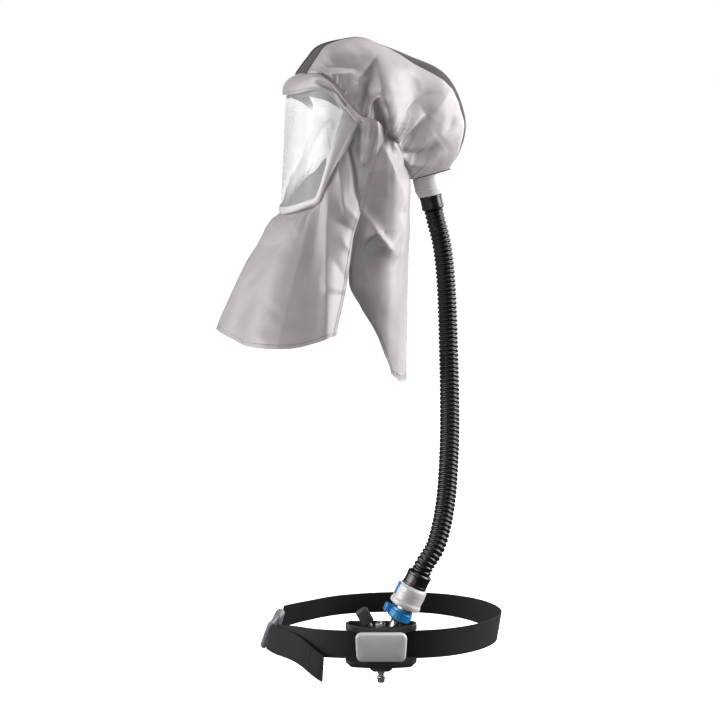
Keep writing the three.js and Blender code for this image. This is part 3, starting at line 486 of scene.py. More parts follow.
GREY_CLOTH = pu_coated_nylon()
LINING = lining_with_painted_glow()
KNIT = rib_knit()
CLEAR = clear_petg()
FRAME_PVC = moulded("soft_PVC", "#d2cbce", "#dfd9db", 0.38, 2.5, 0.05, IOR=1.53)
WHITE_ABS = moulded("white_ABS", "#dcd6d7", "#e6e1e2", 0.3, 1.2, 0.03, IOR=1.54)
RUBBER = moulded("EPDM_rubber", "#060506", "#0c0b0c", 0.24, 1.5, 0.03, IOR=1.5)
BLACK_NYLON = moulded("glass_filled_nylon", "#262426", "#353234", 0.5, 1.0, 0.08, IOR=1.53)
SOFT_GRIP = moulded("thermoplastic_elastomer", "#353436", "#424143", 0.62, 1.0, 0.08, IOR=1.5)
PALE_ABS = moulded("light_grey_ABS", "#ced0d3", "#d8dadc", 0.42, 1.0, 0.05, IOR=1.54)
GREY_ABS = moulded("grey_ABS", "#777b81", "#888c92", 0.44, 1.0, 0.06, IOR=1.54)
BLUE_ACETAL = moulded("blue_acetal", "#1c86d0", "#2b9ae2", 0.34, 1.2, 0.03, IOR=1.48)
STEEL = plated_steel()
WEBBING = nylon_webbing()
PIPING = moulded("dark_binding_tape", "#443d3f", "#584f52", 0.75, 1.4, 0.12, IOR=1.5)
# Painted shade: a dark grey that stands in for the shade inside the hood behind the visor film, on the brow
# facing and chin collar
SHADED_CLOTH = moulded("nylon_facing_painted_shade", "#4b4f4e", "#5b605e", 0.8, 1.6, 0.1, IOR=1.5)
GREY_THREAD = moulded("grey_polyester_thread", "#8d8688", "#a19a9c", 0.6, 0.8, 0.05, IOR=1.5)
BLACK_THREAD = moulded("black_polyester_thread", "#1a191d", "#2b2a2f", 0.55, 0.8, 0.05, IOR=1.5)


# Camera
def place_camera():
    data = bpy.data.cameras.new("camera")
    data.lens = CAMERA_LENS
    data.sensor_width = SENSOR_WIDTH
    data.clip_end = 1000
    camera = bpy.data.objects.new("camera", data)
    camera.location = EYE * MM
    camera.rotation_euler = Vector(GAZE).to_track_quat("-Z", "Y").to_euler()
    bpy.context.scene.collection.objects.link(camera)
    bpy.context.scene.camera = camera


place_camera()


# Places of the belt's and the inlet's own frames
BELT_PLACE = Matrix.Rotation(math.radians(BELT_TURN), 4, "Z")
INLET_PLACE = Matrix.Translation((0, 94, -210.5)) @ Matrix.Rotation(math.radians(13), 4, "X")
REGULATOR_X = 10
REGULATOR_Y = -170


def on_belt(x, y, z, lean=0):
    """A place in the belt's frame that leans over sideways by so many degrees."""
    return BELT_PLACE @ Matrix.Translation((x, y, z)) @ Matrix.Rotation(math.radians(lean), 4, "Y")


STEM_PLACE = on_belt(39, REGULATOR_Y, -988.5, 26)
KNOB_PLACE = on_belt(-12, REGULATOR_Y, -996, -30)
REGULATOR_PLACE = on_belt(REGULATOR_X, REGULATOR_Y, 0)
CONNECTOR_LENGTH = 44
CUFF_LENGTH = 26
COUPLING_FOOT = 25
COUPLING_TOP = 65
JOIN_GAP = 0.3

# The breathing hose, between the two cuffs. The route is in the belt's frame.
HOSE_ROUTE = [
    (120, 29, -335),
    (126, 27, -375),
    (130, 22, -425),
    (132, 13, -475),
    (133, 0, -525),
    (134, -18, -578),
    (134, -40, -630),
    (133, -66, -682),
    (130, -93, -732),
    (125, -120, -782),
    (116, -145, -828),
    (104, -162, -864),
]
HOSE_STRAIGHT = 16  # the hose leaves each cuff in line with it
HOSE_PITCH = 8  # between corrugations
HOSE_ROOT = 15.4


def spaced(line, step):
    """The same line with its points evenly spaced."""
    along = lengths(line, 0)
    places = np.linspace(0, along[-1], max(2, round(along[-1] / step) + 1))
    return on_line(places, along, line)


def tube(line, radii, segments):
    """Rings round a line, each of its own radius, closed with a flat face at both ends."""
    tangent = unit(np.gradient(line, axis=0))
    side = unit(np.cross(tangent[0], (0.3, 1, 0.1)))
    rings = []
    for centre, ahead, radius in zip(line, tangent, radii):
        side = unit(side - ahead * (side @ ahead))
        up = np.cross(ahead, side)
        turn = np.arange(segments)[:, None] * 2 * np.pi / segments
        rings.append(centre + radius * (np.cos(turn) * side + np.sin(turn) * up))
    return ring_solid(np.array(rings))


def ring_solid(rings):
    """Vertices and faces of a solid through rings of as many points each, with a face over both ends."""
    count, segments = rings.shape[:2]
    faces = []
    for i in range(count - 1):
        for j in range(segments):
            k = (j + 1) % segments
            faces.append((i * segments + j, i * segments + k, (i + 1) * segments + k, (i + 1) * segments + j))
    faces.append(tuple(range(segments))[::-1])
    faces.append(tuple(range((count - 1) * segments, count * segments)))
    return rings.reshape(-1, 3), faces


def moved(place, vertices):
    matrix = np.array(place)
    return np.asarray(vertices, float) @ matrix[:3, :3].T + matrix[:3, 3]


def make_hose():
    top = -CONNECTOR_LENGTH - CUFF_LENGTH - 2 * JOIN_GAP
    foot = COUPLING_TOP + CUFF_LENGTH + 2 * JOIN_GAP
    corners = np.concatenate(
        [
            moved(INLET_PLACE, [(0, 0, top), (0, 0, top - HOSE_STRAIGHT)]),
            moved(BELT_PLACE, HOSE_ROUTE),
            moved(STEM_PLACE, [(0, 0, foot + HOSE_STRAIGHT), (0, 0, foot)]),
        ]
    )
    line = spaced(smooth_line(corners), HOSE_PITCH / 8)
    along = lengths(line, 0)
    wave = 0.5 - 0.5 * np.cos(2 * np.pi * along / HOSE_PITCH)
    radii = mix(HOSE_ROOT, HOSE_RADIUS, np.clip(wave * 1.5 - 0.1, 0, 1))
    vertices, faces = tube(line, radii, 36)
    hose = add_piece("corrugated_hose", vertices, faces, RUBBER, "black_rubber", "breathing_hose", sharp=60)


make_hose()


# Head part: the sections of a side panel, from the brow to the underside at the back, and its folds
CROWN = table(
    "at seam_x seam_y seam_z ridge_x ridge_y ridge_z rise",
    (0, 80, -114, -39, 42, -136, -37, 4),
    (1, 93, -104, -51, 36, -117, -10, 2),
    (2, 104, -86, -75, 31, -95, 13, 1.5),
    (3, 112, -56, -115, 31, -45, 25, 1),
    (4, 114, -44, -128, 34, -6, 15, 6),
    (5, 114, -14, -143, 38, 57, -19, 17),
    (6, 108, 10, -158, 40, 117, -53, 22),
    (7, 100, 21, -181, 40, 149, -115, 19),
    (8, 85, 37, -208, 41, 144, -165, 17),
    (9, 66, 48, -224, 42, 126, -205, 8),
)
LAST_SECTION = 9
FRONT_FULLNESS = 0.84  # 1 is an ellipse from the seam to the ridge, and less is fuller
BACK_FULLNESS = 0.66
EDGE_CROWDING = 1.22  # the mesh is finer near the seam and the ridge
CORE_Y = (-60, 60)  # its folds stand out from a level line inside the head, between these
CORE_Z = -90
LIP = 5  # the edge over the brow is turned in this far from it, and by this much
LIP_TURN = 2
# Across and up on the side view, widths of the left and right flanks, rise
CROWN_FOLDS = [
    [(-107, -28, 16, 8, -3), (-76, -21, 18, 8, -8), (-40, -26, 16, 8, -5)],  # dent over the brow
    [(-113, -36, 6, 9, 1), (-76, -39, 6, 10, 4), (-41, -36, 6, 9, 3)],
    [(0, -8, 8, 5, -2), (-12, -27, 11, 5, -7), (-30, -50, 10, 6, -5)],  # pinch
    [(2, -10, 13, 10, -2), (-9, -41, 15, 11, -9), (-15, -74, 14, 12, -11), (-23, -110, 10, 10, -7)],
    [(6, -90, 7, 5, -5), (9, -106, 8, 5, -8), (12, -122, 8, 5, -10), (17, -144, 8, 5, -6)],  # pocket
    [(-6, -130, 5, 5, 4), (-7, -110, 5, 5, 6), (-4, -90, 5, 5, 6), (5, -79, 5, 5, 5), (14, -86, 5, 5, 3)],
    [(-16, -92, 8, 8, 4), (-22, -119, 7, 7, 5)],
    [(36, -161, 14, 4, 7), (58, -137, 15, 4, 10), (78, -119, 14, 5, 5), (92, -107, 12, 6, 0)],
    [(43, -166, 5, 13, -7), (65, -146, 5, 15, -10), (86, -124, 6, 14, -5), (98, -112, 8, 12, 0)],
    [(47, -176, 8, 8, 4), (75, -168, 9, 9, 6), (97, -156, 9, 9, 3), (112, -146, 9, 9, 0)],
    [(42, -182, 10, 7, -6), (72, -187, 12, 7, -11), (98, -177, 12, 8, -7), (116, -162, 11, 9, 0)],
    [(50, -198, 6, 12, 3), (85, -198, 6, 12, 6), (112, -182, 7, 12, 3), (126, -168, 8, 12, 0)],
    [(48, -110, 14, 12, -2), (70, -88, 16, 12, -7), (96, -74, 16, 12, -6), (122, -70, 14, 12, 0)],
    [(92, -112, 12, 9, 0), (112, -98, 13, 9, 5), (131, -72, 12, 9, 4), (140, -56, 10, 10, 0)],
    [(122, -150, 12, 10, 0), (138, -132, 12, 10, -5), (147, -106, 12, 10, -4), (150, -88, 10, 10, 0)],
]
CROWN_SWELLS = [
    [(6, -12, 30, 14, 3), (12, -49, 30, 15, 13), (16, -78, 30, 13, 16), (25, -115, 26, 11, 14),
     (34, -156, 14, 8, 8)],
    [(44, -60, 18, 20, 0), (66, -50, 18, 20, -4), (98, -44, 18, 18, -4), (120, -44, 16, 16, 0)],
]


def crown_base(along, up):
    row = read(CROWN, "at", along)
    turn = up * np.pi / 2
    fullness = mix(FRONT_FULLNESS, BACK_FULLNESS, along / LAST_SECTION)
    in_plane = np.sin(turn) ** fullness
    sideways = np.maximum(np.cos(turn), 0) ** fullness
    return points(
        mix(row.ridge_x, row.seam_x, sideways),
        mix(row.seam_y, row.ridge_y, in_plane),
        mix(row.seam_z, row.ridge_z, in_plane),
    )


def crown_surface(along_count, up_count, seed):
    a, b = grid(along_count, up_count)
    above = b**EDGE_CROWDING
    up = above / (above + (1 - b) ** EDGE_CROWDING)
    surface = crown_base(a * LAST_SECTION, up)
    outward = unit(surface - points(0, mix(*CORE_Y, a), CORE_Z))
    from_seam = lengths(surface, 1)
    from_brow = lengths(surface, 0)
    height = fold_height(surface, CROWN_FOLDS) + fold_height(surface, CROWN_SWELLS, crispness=1)
    height = height + pleats(from_brow, from_seam, pitch=19, reach=22, rise=0.9)
    height = height + crumple(surface, size=34, rise=1.2, seed=seed)
    height = height * ease(from_seam / 7) * ease((1 - up) / 0.12) * fade(a, 0.03)
    hem = np.clip(1 - np.minimum(from_seam, from_brow) / LIP, 0, 1)
    return surface + outward * (height - LIP_TURN * hem**2)[..., None]


def make_crown():
    left = crown_surface(260, 110, 1)
    add_cloth("crown_left_panel", left, CLOTH, 1, GREY_CLOTH, "coated_cloth", "crown_left", lining=LINING)
    right = crown_surface(170, 80, 2) * MIRROR
    for panel, side, name in ((left, 1, "left"), (right, -1, "right")):
        over_brow = seam_line(panel[::-1].swapaxes(0, 1), side, 7)
        sew(f"crown_stitching_{name}", [seam_line(panel, side, 4), over_brow], GREY_THREAD, "coated_cloth")
    add_cloth("crown_right_panel", right, CLOTH, -1, GREY_CLOTH, "coated_cloth", "crown_right", lining=LINING)


PIPING_RADIUS = 0.9
PIPING_LIFT = 0.7
UNDERSIDE_PIPING = 1.3  # its radius
GATHERED = (7.3, 8.7)  # the piping is gathered between these sections of the crown, and eases in and out
GATHER_EASE = 0.3


def ridge_line(along):
    row = read(CROWN, "at", along)
    ahead = read(CROWN, "at", along + 0.05)
    behind = read(CROWN, "at", along - 0.05)
    slope = unit(points(0, ahead.ridge_y - behind.ridge_y, ahead.ridge_z - behind.ridge_z))
    return row, slope


def on_gusset(along, across, inset=0, lift=0):
    """Places on the gusset at sections of the crown, from -1 to 1 between its ridges."""
    row, slope = ridge_line(along)
    rise = row.rise * (1 - across**2) + lift
    return points(
        across * (row.ridge_x - inset), row.ridge_y - slope[..., 2] * rise, row.ridge_z + slope[..., 1] * rise
    )


def make_gusset():
    a, b = grid(160, 24)
    surface = on_gusset(a * LAST_SECTION, mix(-1, 1, b), inset=0.6, lift=-1)
    add_cloth("crown_gusset_knit", surface, CLOTH, -1, KNIT, "ribbed_cloth", "crown_gusset")
    for side, name in SIDES:
        along = np.linspace(0.02, LAST_SECTION - 0.02, 320)
        line = on_gusset(along, side, lift=PIPING_LIFT)
        gathered = ease((along - GATHERED[0]) / GATHER_EASE) * ease((GATHERED[1] - along) / GATHER_EASE)
        radii = PIPING_RADIUS + gathered * (0.9 + 0.8 * np.sin(along * 46) + 0.5 * np.sin(along * 71 + side))
        add_piece(f"ridge_piping_{name}", *tube(line, radii, 8), PIPING, "ribbed_cloth")
        edge = crown_base(np.full(60, float(LAST_SECTION)), np.linspace(0.02, 0.98, 60)) * (side, 1, 1)
        radii = np.full(60, UNDERSIDE_PIPING)
        add_piece(f"underside_piping_{name}", *tube(edge, radii, 8), PIPING, "ribbed_cloth")


TAB_SECTION = 7.3
TAB_LENGTH = 15


def make_pull_tab():
    """A loop of tape over the back of the gusset. Its corners are out from the gusset and across it."""
    row, slope = ridge_line(np.array([TAB_SECTION]))
    outward = points(0, -slope[0, 2], slope[0, 1])
    crest = points(0, row.ridge_y[0], row.ridge_z[0]) + outward * (row.rise[0] - 1)
    fold = smooth_line([(-2, -11), (3, -10), (7, -6), (8.6, 0), (7, 6), (3, 10), (-2, 11)], 6)[:, None]
    along = np.linspace(-TAB_LENGTH / 2, TAB_LENGTH / 2, 9)[None, :, None] * slope[0]
    surface = crest + fold[..., :1] * outward + fold[..., 1:] * (1, 0, 0) + along
    # The tab is made of the lining finish, so it carries the lining's painted glow.
    add_cloth("pull_tab", surface, CLOTH, 1, LINING, "coated_cloth")


make_crown()
make_gusset()
make_pull_tab()


# The underside at the back, with the hole for the inlet
INLET_HOLE = 21
PANEL_INSET = 3.2


def make_inlet_panel():
    a, b = grid(20, 96)
    turn = 2 * np.pi * mix(0.003, 0.997, b)
    rim = points(INLET_HOLE * np.cos(turn), INLET_HOLE * np.sin(turn), 0)
    rim = moved(INLET_PLACE, rim.reshape(-1, 3)).reshape(rim.shape)
    end = np.full(30, float(LAST_SECTION))
    side = crown_base(end, np.linspace(0, 1, 30))
    back = on_gusset(end, np.linspace(0.97, -0.97, 30))
    front = mix(side[0] * MIRROR, side[0], np.linspace(0.03, 0.97, 30)[:, None])
    outline = np.concatenate([side, back, side[::-1] * MIRROR, front])
    middle = np.array([0, INLET_PLACE.translation.y, INLET_PLACE.translation.z])
    outline += unit(middle - outline) * PANEL_INSET
    round_hole = np.arctan2(outline[:, 1] - middle[1], outline[:, 0])
    edge = on_line(turn, round_hole, outline, period=2 * np.pi)
    surface = mix(rim, edge, a[..., None])
    surface[..., 2] += 0.8 * np.sin(np.pi * a) * np.sin(5 * turn)
    add_cloth("inlet_panel_cloth", surface, CLOTH, -1, GREY_CLOTH, "coated_cloth", "inlet_panel")


# Face: the visor is bent round an upright axis that leans with it
VISOR_TOP = -75
VISOR_FOOT = -272
VISOR_LEAN = 10
VISOR_AXIS_Y = -48  # at its top
VISOR_SIDE = (-252, -104)  # heights between which its sides follow the strip
VISOR_UNDER = 2.5  # degrees that the sheet runs on under the strip beside it
UNDER_STRIP = 5  # and how far it runs on under the strip below it, and under the brow
UNDER_BROW = 7
VISOR_CORNER = -240  # its lower edge comes no higher than this
INSIDE_VISOR = VISOR_RADIUS - VISOR_SHEET - 1
FRAME_FLANGE = 0.45  # the strip runs on under the cloth by this share of its width, and this deep
FRAME_DIP = 13
FRAME_LIFT = 2.2  # how far its edges stand off the visor, and how much further its middle does
FRAME_BULGE = 1.2


def on_visor(turn, z, radius):
    axis_y = VISOR_AXIS_Y - VISOR_LEAN * (VISOR_TOP - z) / (VISOR_TOP - VISOR_FOOT)
    angle = np.radians(turn)
    return points(radius * np.sin(angle), axis_y - radius * np.cos(angle), z)


FRAME = table(
    "at inner_turn inner_z outer_turn outer_z",
    (-0.5, 74, -92, 87, -114),
    (0, 70.5, -107, 84, -126),
    (1, 65.5, -142, 76.5, -150),
    (2, 60, -180, 68.5, -182),
    (3, 55.5, -217, 61, -220),
    (4, 51.5, -244, 56.5, -248),
    (5, 48.5, -254.5, 52.5, -263.5),
    (6, 42, -259, 44, -269),
    (7, 28, -266.5, 29, -277.5),
    (8, 12, -271, 12, -283),
    (9, 0, -272, 0, -284),
)
FRAME_UPWARD = {name: column[::-1] for name, column in FRAME.items()}
BROW = table(
    "turn foot_z crest_reach crest_z under",
    (0, -75, 117, -50, 3.2),
    (22, -74, 117, -50, 3.2),
    (50, -68, 117, -47, 4),
    (60, -78, 116, -58, 7),
    (71, -104, 115, -88, 10),
    (87, -126, 113, -121, 6),
)
BROW_END = 87
BROW_CENTRE = np.array([0, AXIS_Y, -85])  # its folds stand out from here
BROW_GAP = 4.8  # how far its foot stands off the visor
CREST_PULL = 5  # the curve over the crest is drawn this far out
BROW_FOLDS = [
    [(-113, -43, 4, 6, 2), (-85, -52, 4, 6, 5), (-61, -79, 4, 6, 5), (-32, -115, 4, 5, 3)],
    [(-103, -52, 5, 5, -2), (-76, -67, 5, 5, -4), (-54, -90, 5, 5, -4)],
    [(-95, -63, 5, 5, 2), (-72, -83, 5, 5, 4), (-45, -108, 5, 5, 4)],
    [(-67, -83, 4, 4, -4), (-45, -104, 4, 4, -8), (-23, -126, 4, 4, -6)],
    [(-63, -106, 4, 4, 2), (-41, -124, 4, 4, 3)],
]
FACING = table(
    "turn drop", (0, 2), (6, 3), (20, 6), (34, 7), (42, 12), (52, 16), (61, 13), (68, 5)
)
FACING_END = 68
TUCK = 0.2  # share of the brow that runs on under the edge of the head part


def ring(turn, reach, z):
    angle = np.radians(turn)
    return points(reach * np.sin(angle), AXIS_Y - reach * np.cos(angle), z)


def head_edge(inwards):
    """The edge over the brow, from the middle to the ear, and that far into the head part from it."""
    middle = on_gusset(np.full(12, inwards / 40), np.linspace(0, 0.97, 12))
    front = crown_base(np.full(30, inwards / 40), np.linspace(0.98, inwards / 150, 30))
    side = crown_base(np.linspace(0.1, 3.3, 40), np.full(40, inwards / 150))
    return np.concatenate([middle, front, side])


def at_turn(line, turn):
    """The places of a line that are that far round from the front."""
    round_axis = np.degrees(np.arctan2(line[:, 0], AXIS_Y - line[:, 1]))
    order = np.argsort(round_axis)
    return on_line(turn, round_axis[order], line[order])


def brow_base(turn, up):
    row = read(BROW, "turn", turn)
    edge = at_turn(head_edge(0), turn)
    inner = at_turn(head_edge(10), turn)
    foot = on_visor(turn, row.foot_z, VISOR_RADIUS + BROW_GAP)
    crest = ring(turn, row.crest_reach + CREST_PULL, row.crest_z)
    top = edge + unit(BROW_CENTRE - edge) * row.under[..., None]
    tuck = inner + unit(BROW_CENTRE - inner) * (row.under[..., None] + 1)
    bent = np.clip(up / (1 - TUCK), 0, 1)[..., None]
    under = np.clip((up - 1 + TUCK) / TUCK, 0, 1)[..., None]
    return foot * (1 - bent) ** 2 + crest * 2 * bent * (1 - bent) + top * bent**2 + (tuck - top) * under


def make_brow():
    a, b = grid(220, 40)
    turn = mix(-BROW_END, BROW_END, a)
    near_side = brow_base(np.abs(turn), b)
    outward = unit(near_side - BROW_CENTRE)
    mirror = np.where(turn[..., None] < 0, MIRROR, 1)
    height = 1.4 * fold_height(near_side, BROW_FOLDS)
    height = height + crumple(near_side * mirror, size=22, rise=0.8, seed=3)
    height = height * ease(b / 0.12) * ease((1 - b - TUCK) / 0.1) * fade(a, 0.03)
    surface = (near_side + outward * height[..., None]) * mirror
    sew("brow_stitching", [seam_line(surface[:, ::-1], -1, 5)], GREY_THREAD, "coated_cloth")
    add_cloth("brow_band_cloth", surface, CLOTH, 1, GREY_CLOTH, "coated_cloth", "brow_band", lining=LINING)
    a, b = grid(120, 8)
    turn = mix(-FACING_END, FACING_END, a)
    foot = read(BROW, "turn", np.abs(turn)).foot_z
    drop = read(FACING, "turn", np.abs(turn)).drop
    facing = on_visor(turn, mix(foot - drop, foot + 8, b), INSIDE_VISOR)
    add_cloth("brow_facing_cloth", facing, 2, 1, SHADED_CLOTH, "ribbed_cloth", "brow_facing")


def make_visor():
    a, b = grid(120, 40)
    side_turn = read(FRAME_UPWARD, "inner_z", mix(*VISOR_SIDE, b)).inner_turn + VISOR_UNDER
    turn = mix(-1, 1, a) * side_turn
    foot = read(FRAME_UPWARD, "inner_turn", np.abs(turn)).inner_z - UNDER_STRIP
    top = read(BROW, "turn", np.abs(turn)).foot_z + UNDER_BROW
    surface = on_visor(turn, mix(np.minimum(foot, VISOR_CORNER), top, b), VISOR_RADIUS)
    add_cloth("visor_sheet", surface, VISOR_SHEET, 1, CLEAR, "clear_visor", "visor")


def make_visor_frame():
    a, b = grid(240, 16)
    row = read(FRAME, "at", mix(FRAME["at"][0], FRAME["at"][-1], 2 * np.minimum(a, 1 - a)))
    across = mix(-FRAME_FLANGE, 1, b)
    turn = np.where(a < 0.5, -1, 1) * mix(row.outer_turn, row.inner_turn, across)
    bulge = FRAME_BULGE * np.sin(np.pi * np.clip(across, 0, 1))
    flange = FRAME_DIP * np.clip(-across / FRAME_FLANGE, 0, 1) ** 0.7
    z = mix(row.outer_z, row.inner_z, across)
    surface = on_visor(turn, z, VISOR_RADIUS + FRAME_LIFT + bulge - flange)
    add_cloth("visor_frame_strip", surface, CLOTH, 1, FRAME_PVC, "frame_vinyl", "visor_frame")


COLLAR_TOP = table("turn z", (0, -262), (20, -240), (44, -208), (56, -186))
COLLAR_END = 56


def make_chin_collar():
    a, b = grid(110, 16)
    turn = mix(-COLLAR_END, COLLAR_END, a)
    foot = read(FRAME_UPWARD, "inner_turn", np.abs(turn)).inner_z + 1
    top = read(COLLAR_TOP, "turn", np.abs(turn)).z + 1.5 * np.sin(a * 40)
    ripple = 0.8 * np.sin(a * 55) * b
    surface = on_visor(turn, mix(foot, top, b), INSIDE_VISOR - 6 * b - ripple - 0.8 * b)
    add_cloth("chin_collar_cloth", surface, CLOTH, 1, SHADED_CLOTH, "coated_cloth", "chin_collar")


make_inlet_panel()
make_brow()
make_visor()
make_visor_frame()
make_chin_collar()


# Shoulder cape: the bib in front and the flap behind
BIB = table(
    "turn top_reach top_z hem_reach hem_z flare",
    (0, 121.5, -286, 236, -487, 0.7),
    (14, 121, -285, 236, -498, 0.72),
    (30, 119.5, -280, 234, -507, 0.78),
    (45, 115, -270, 227, -508, 0.95),
    (52, 110, -248, 222, -506, 1.2),
    (59, 107, -206, 215, -499, 1.5),
    (70, 106, -156, 206, -486, 2),
    (88, 108, -120, 200, -484, 2.6),
    (114, 118.5, -141, 196, -480, 3),
)
FLAP = table(
    "turn top_reach top_z hem_reach hem_z flare",
    (70, 106, -156, 132, -560, 1.6),
    (88, 108, -120, 116, -552, 1.5),
    (114, 120, -141, 108, -557, 1.2),
    (130, 121, -176, 102, -572, 1),
    (148, 115, -213, 99, -583, 1),
    (180, 99.5, -219, 101, -582, 1),
)
BIB_EDGE = table(
    "down turn", (0, 112), (0.24, 100), (0.39, 90), (0.54, 80), (0.75, 75), (1, 70)
)
FLAP_EDGE = table(
    "down turn far_turn",
    (0, 112, 112),
    (0.15, 100, 104.5),
    (0.28, 92, 98.5),
    (0.405, 86, 98.5),
    (0.52, 80, 108),
    (0.638, 79, 125.5),
    (0.765, 90.5, 142.5),
    (0.858, 104, 152),
    (0.938, 113.5, 157),
    (1, 124, 161),
)
BIB_FOLDS = [
    [(-211, -348, 22, 24, -3), (-180, -345, 22, 24, -4), (-150, -334, 20, 22, -1)],
    [(-83, -236, 24, 10, 2), (-83, -290, 34, 12, 8), (-83, -380, 38, 14, 12), (-84, -470, 38, 15, 12),
     (-86, -530, 38, 15, 11)],  # upright crease
    [(-32, -131, 5, 5, -6), (-38, -142, 5, 6, -10), (-49, -157, 6, 6, -8)],
    [(-49, -157, 17, 9, -8), (-40, -185, 18, 10, -12), (-32, -225, 18, 10, -13), (-28, -257, 16, 10, -11),
     (-16, -284, 12, 8, -5)],
    [(-64, -202, 12, 9, 4), (-59, -247, 13, 10, 7), (-53, -292, 11, 10, 4)],
    [(-56, -274, 8, 6, 2), (-41, -290, 8, 6, 4), (-25, -304, 7, 6, 2)],
    [(-67, -301, 6, 9, -2), (-52, -312, 6, 10, -4), (-36, -322, 6, 9, -2)],
    [(-61, -329, 8, 8, 2), (-50, -349, 8, 8, 4), (-41, -365, 8, 8, 2)],
    [(-70, -376, 8, 8, -3), (-63, -394, 8, 8, -5), (-54, -410, 8, 8, -3)],
    [(-83, -419, 5, 7, 1), (-68, -424, 5, 7, 3), (-54, -424, 5, 7, 2)],
    [(-81, -434, 6, 6, -2), (-54, -439, 6, 6, -3)],
]
BIB_SWELLS = [
    [(-108, -290, 60, 54, 5), (-140, -409, 66, 60, 11), (-182, -517, 72, 64, 15)],
    [(-5, -259, 14, 16, -6), (-25, -322, 14, 17, -13), (-45, -391, 14, 19, -17), (-56, -445, 14, 19, -17),
     (-68, -517, 14, 19, -15)],
]
FLAP_FOLDS = [
    [(-20, -288, 7, 20, 3), (2, -319, 8, 22, 9), (20, -343, 8, 18, 9), (29, -353, 8, 14, 6)],  # pointed pleat
    [(16, -172, 8, 30, 5), (32, -202, 8, 40, 15), (50, -257, 11, 48, 20), (42, -288, 11, 46, 17),
     (49, -317, 11, 46, 19), (30, -352, 11, 32, 8)],  # leaf
    [(20, -150, 6, 6, 2), (34, -162, 6, 6, 4), (45, -178, 6, 6, 3)],
]
FLAP_SWELLS = [
    [(-5, -259, 20, 14, -2), (-25, -322, 22, 14, -4), (-41, -376, 22, 14, -5), (-49, -418, 20, 14, -5),
     (-31, -463, 18, 14, -4), (-5, -508, 16, 14, -3), (18, -562, 14, 12, -2)],
    [(46, -370, 12, 60, 12), (43, -440, 12, 60, 20), (41, -520, 12, 52, 21), (41, -590, 12, 44, 18)],
]

FAR_HEM_LIFT = 9  # the far side hangs this much higher
TOWARD_SHARE = 0.9  # beside the neck, the flap's folds stand out towards the camera by this share
TUCK_UNDER = 2.5  # degrees that the flap runs on under the bib
HEM = 7
HEM_ROWS = 4  # between the two rows of stitching on the flap's hem
HANG = 3  # rise of the loose folds at the hem
BESIDE = 20  # the side of the neck begins this far out, and is all there this much further
BESIDE_EASE = 40
NECK_DEGREE = 1.9  # length of a degree along the gathered top edge
CAPE_DROP = 330


def cape_base(rows, turn, down):
    row = read(rows, "turn", turn)
    return ring(turn, mix(row.top_reach, row.hem_reach, down**row.flare), mix(row.top_z, row.hem_z, down))


def hanging_folds(turn, down):
    """Loose folds that open out towards the hem, in the middle of the front and of the back."""
    angle = np.radians(turn)
    wave = np.cos(9 * angle) + 0.5 * np.sin(14 * angle + 0.6)
    return HANG * down**1.3 * wave * ease((np.abs(np.abs(turn) - 85) - 35) / 25)


def cape_surface(rows, folds, swells, turn, down, seed, sideways=0):
    """The bib or the flap. Folds stand out from the neck's axis, or with sideways, by that share, towards
    the camera."""
    near_side = cape_base(rows, np.abs(turn), down)
    outward = unit((near_side - (0, AXIS_Y, 0)) * (1, 1, 0))
    beside = ease((near_side[..., 0] - BESIDE) / BESIDE_EASE)
    outward = mix(outward, TOWARD, sideways * beside[..., None])
    height = fold_height(near_side, folds) + fold_height(near_side, swells, crispness=1)
    height = height * (1 - sideways * (1 - beside))
    height = height + hanging_folds(turn, down)
    height = height + pleats(turn * NECK_DEGREE, down * CAPE_DROP, pitch=17, reach=30, rise=0.9)
    mirror = np.where(turn[..., None] < 0, MIRROR, 1)
    height = height + crumple(near_side * mirror, size=42, rise=1.2, seed=seed)
    surface = near_side + outward * (height * ease(down / 0.05))[..., None]
    surface[..., 2] += FAR_HEM_LIFT * down**2 * ease(-turn / 25) * ease((180 + turn) / 25)
    return surface * mirror


def hem_lines(surface, *insets):
    """Lines of stitching that far in from the lower hem, and one up each edge."""
    lower = [seam_line(surface, -1, inset) for inset in insets]
    upright = surface.swapaxes(0, 1)
    return lower + [seam_line(upright, 1, HEM), seam_line(upright[:, ::-1], -1, HEM)]


def make_cape():
    a, b = grid(260, 120)
    edge = read(BIB_EDGE, "down", b).turn - 0.4
    bib = cape_surface(BIB, BIB_FOLDS, BIB_SWELLS, mix(-edge, edge, a), b, 4)
    add_cloth("bib_cloth", bib, CLOTH, -1, GREY_CLOTH, "coated_cloth", "bib", lining=LINING)
    sew("bib_stitching", hem_lines(bib, HEM), GREY_THREAD, "coated_cloth")
    a, b = grid(180, 130)
    edge = read(FLAP_EDGE, "down", b)
    turn = mix(edge.turn - TUCK_UNDER, 360 - edge.far_turn - 1.2, a)
    turn = np.where(turn > 180, turn - 360, turn)
    flap = cape_surface(FLAP, FLAP_FOLDS, FLAP_SWELLS, turn, b, 5, TOWARD_SHARE)
    add_cloth("nape_flap_cloth", flap, CLOTH, -1, GREY_CLOTH, "coated_cloth", "nape_flap", lining=LINING)
    sew("flap_stitching", hem_lines(flap, HEM, HEM + HEM_ROWS), GREY_THREAD, "coated_cloth")


# The pleat under the ear: how far down the bib, where its front and back edges are, and how far it stands off
GATHER = table(
    "share down front_turn back_turn stand lift",
    (0, 0.005, 82, 107, 13, 8),
    (0.25, 0.03, 82, 107.5, 13, 3),
    (0.5, 0.08, 83, 106, 10, 0),
    (0.8, 0.15, 86, 102, 5, 0),
    (1, 0.22, 90, 98, -1.5, 0),
)


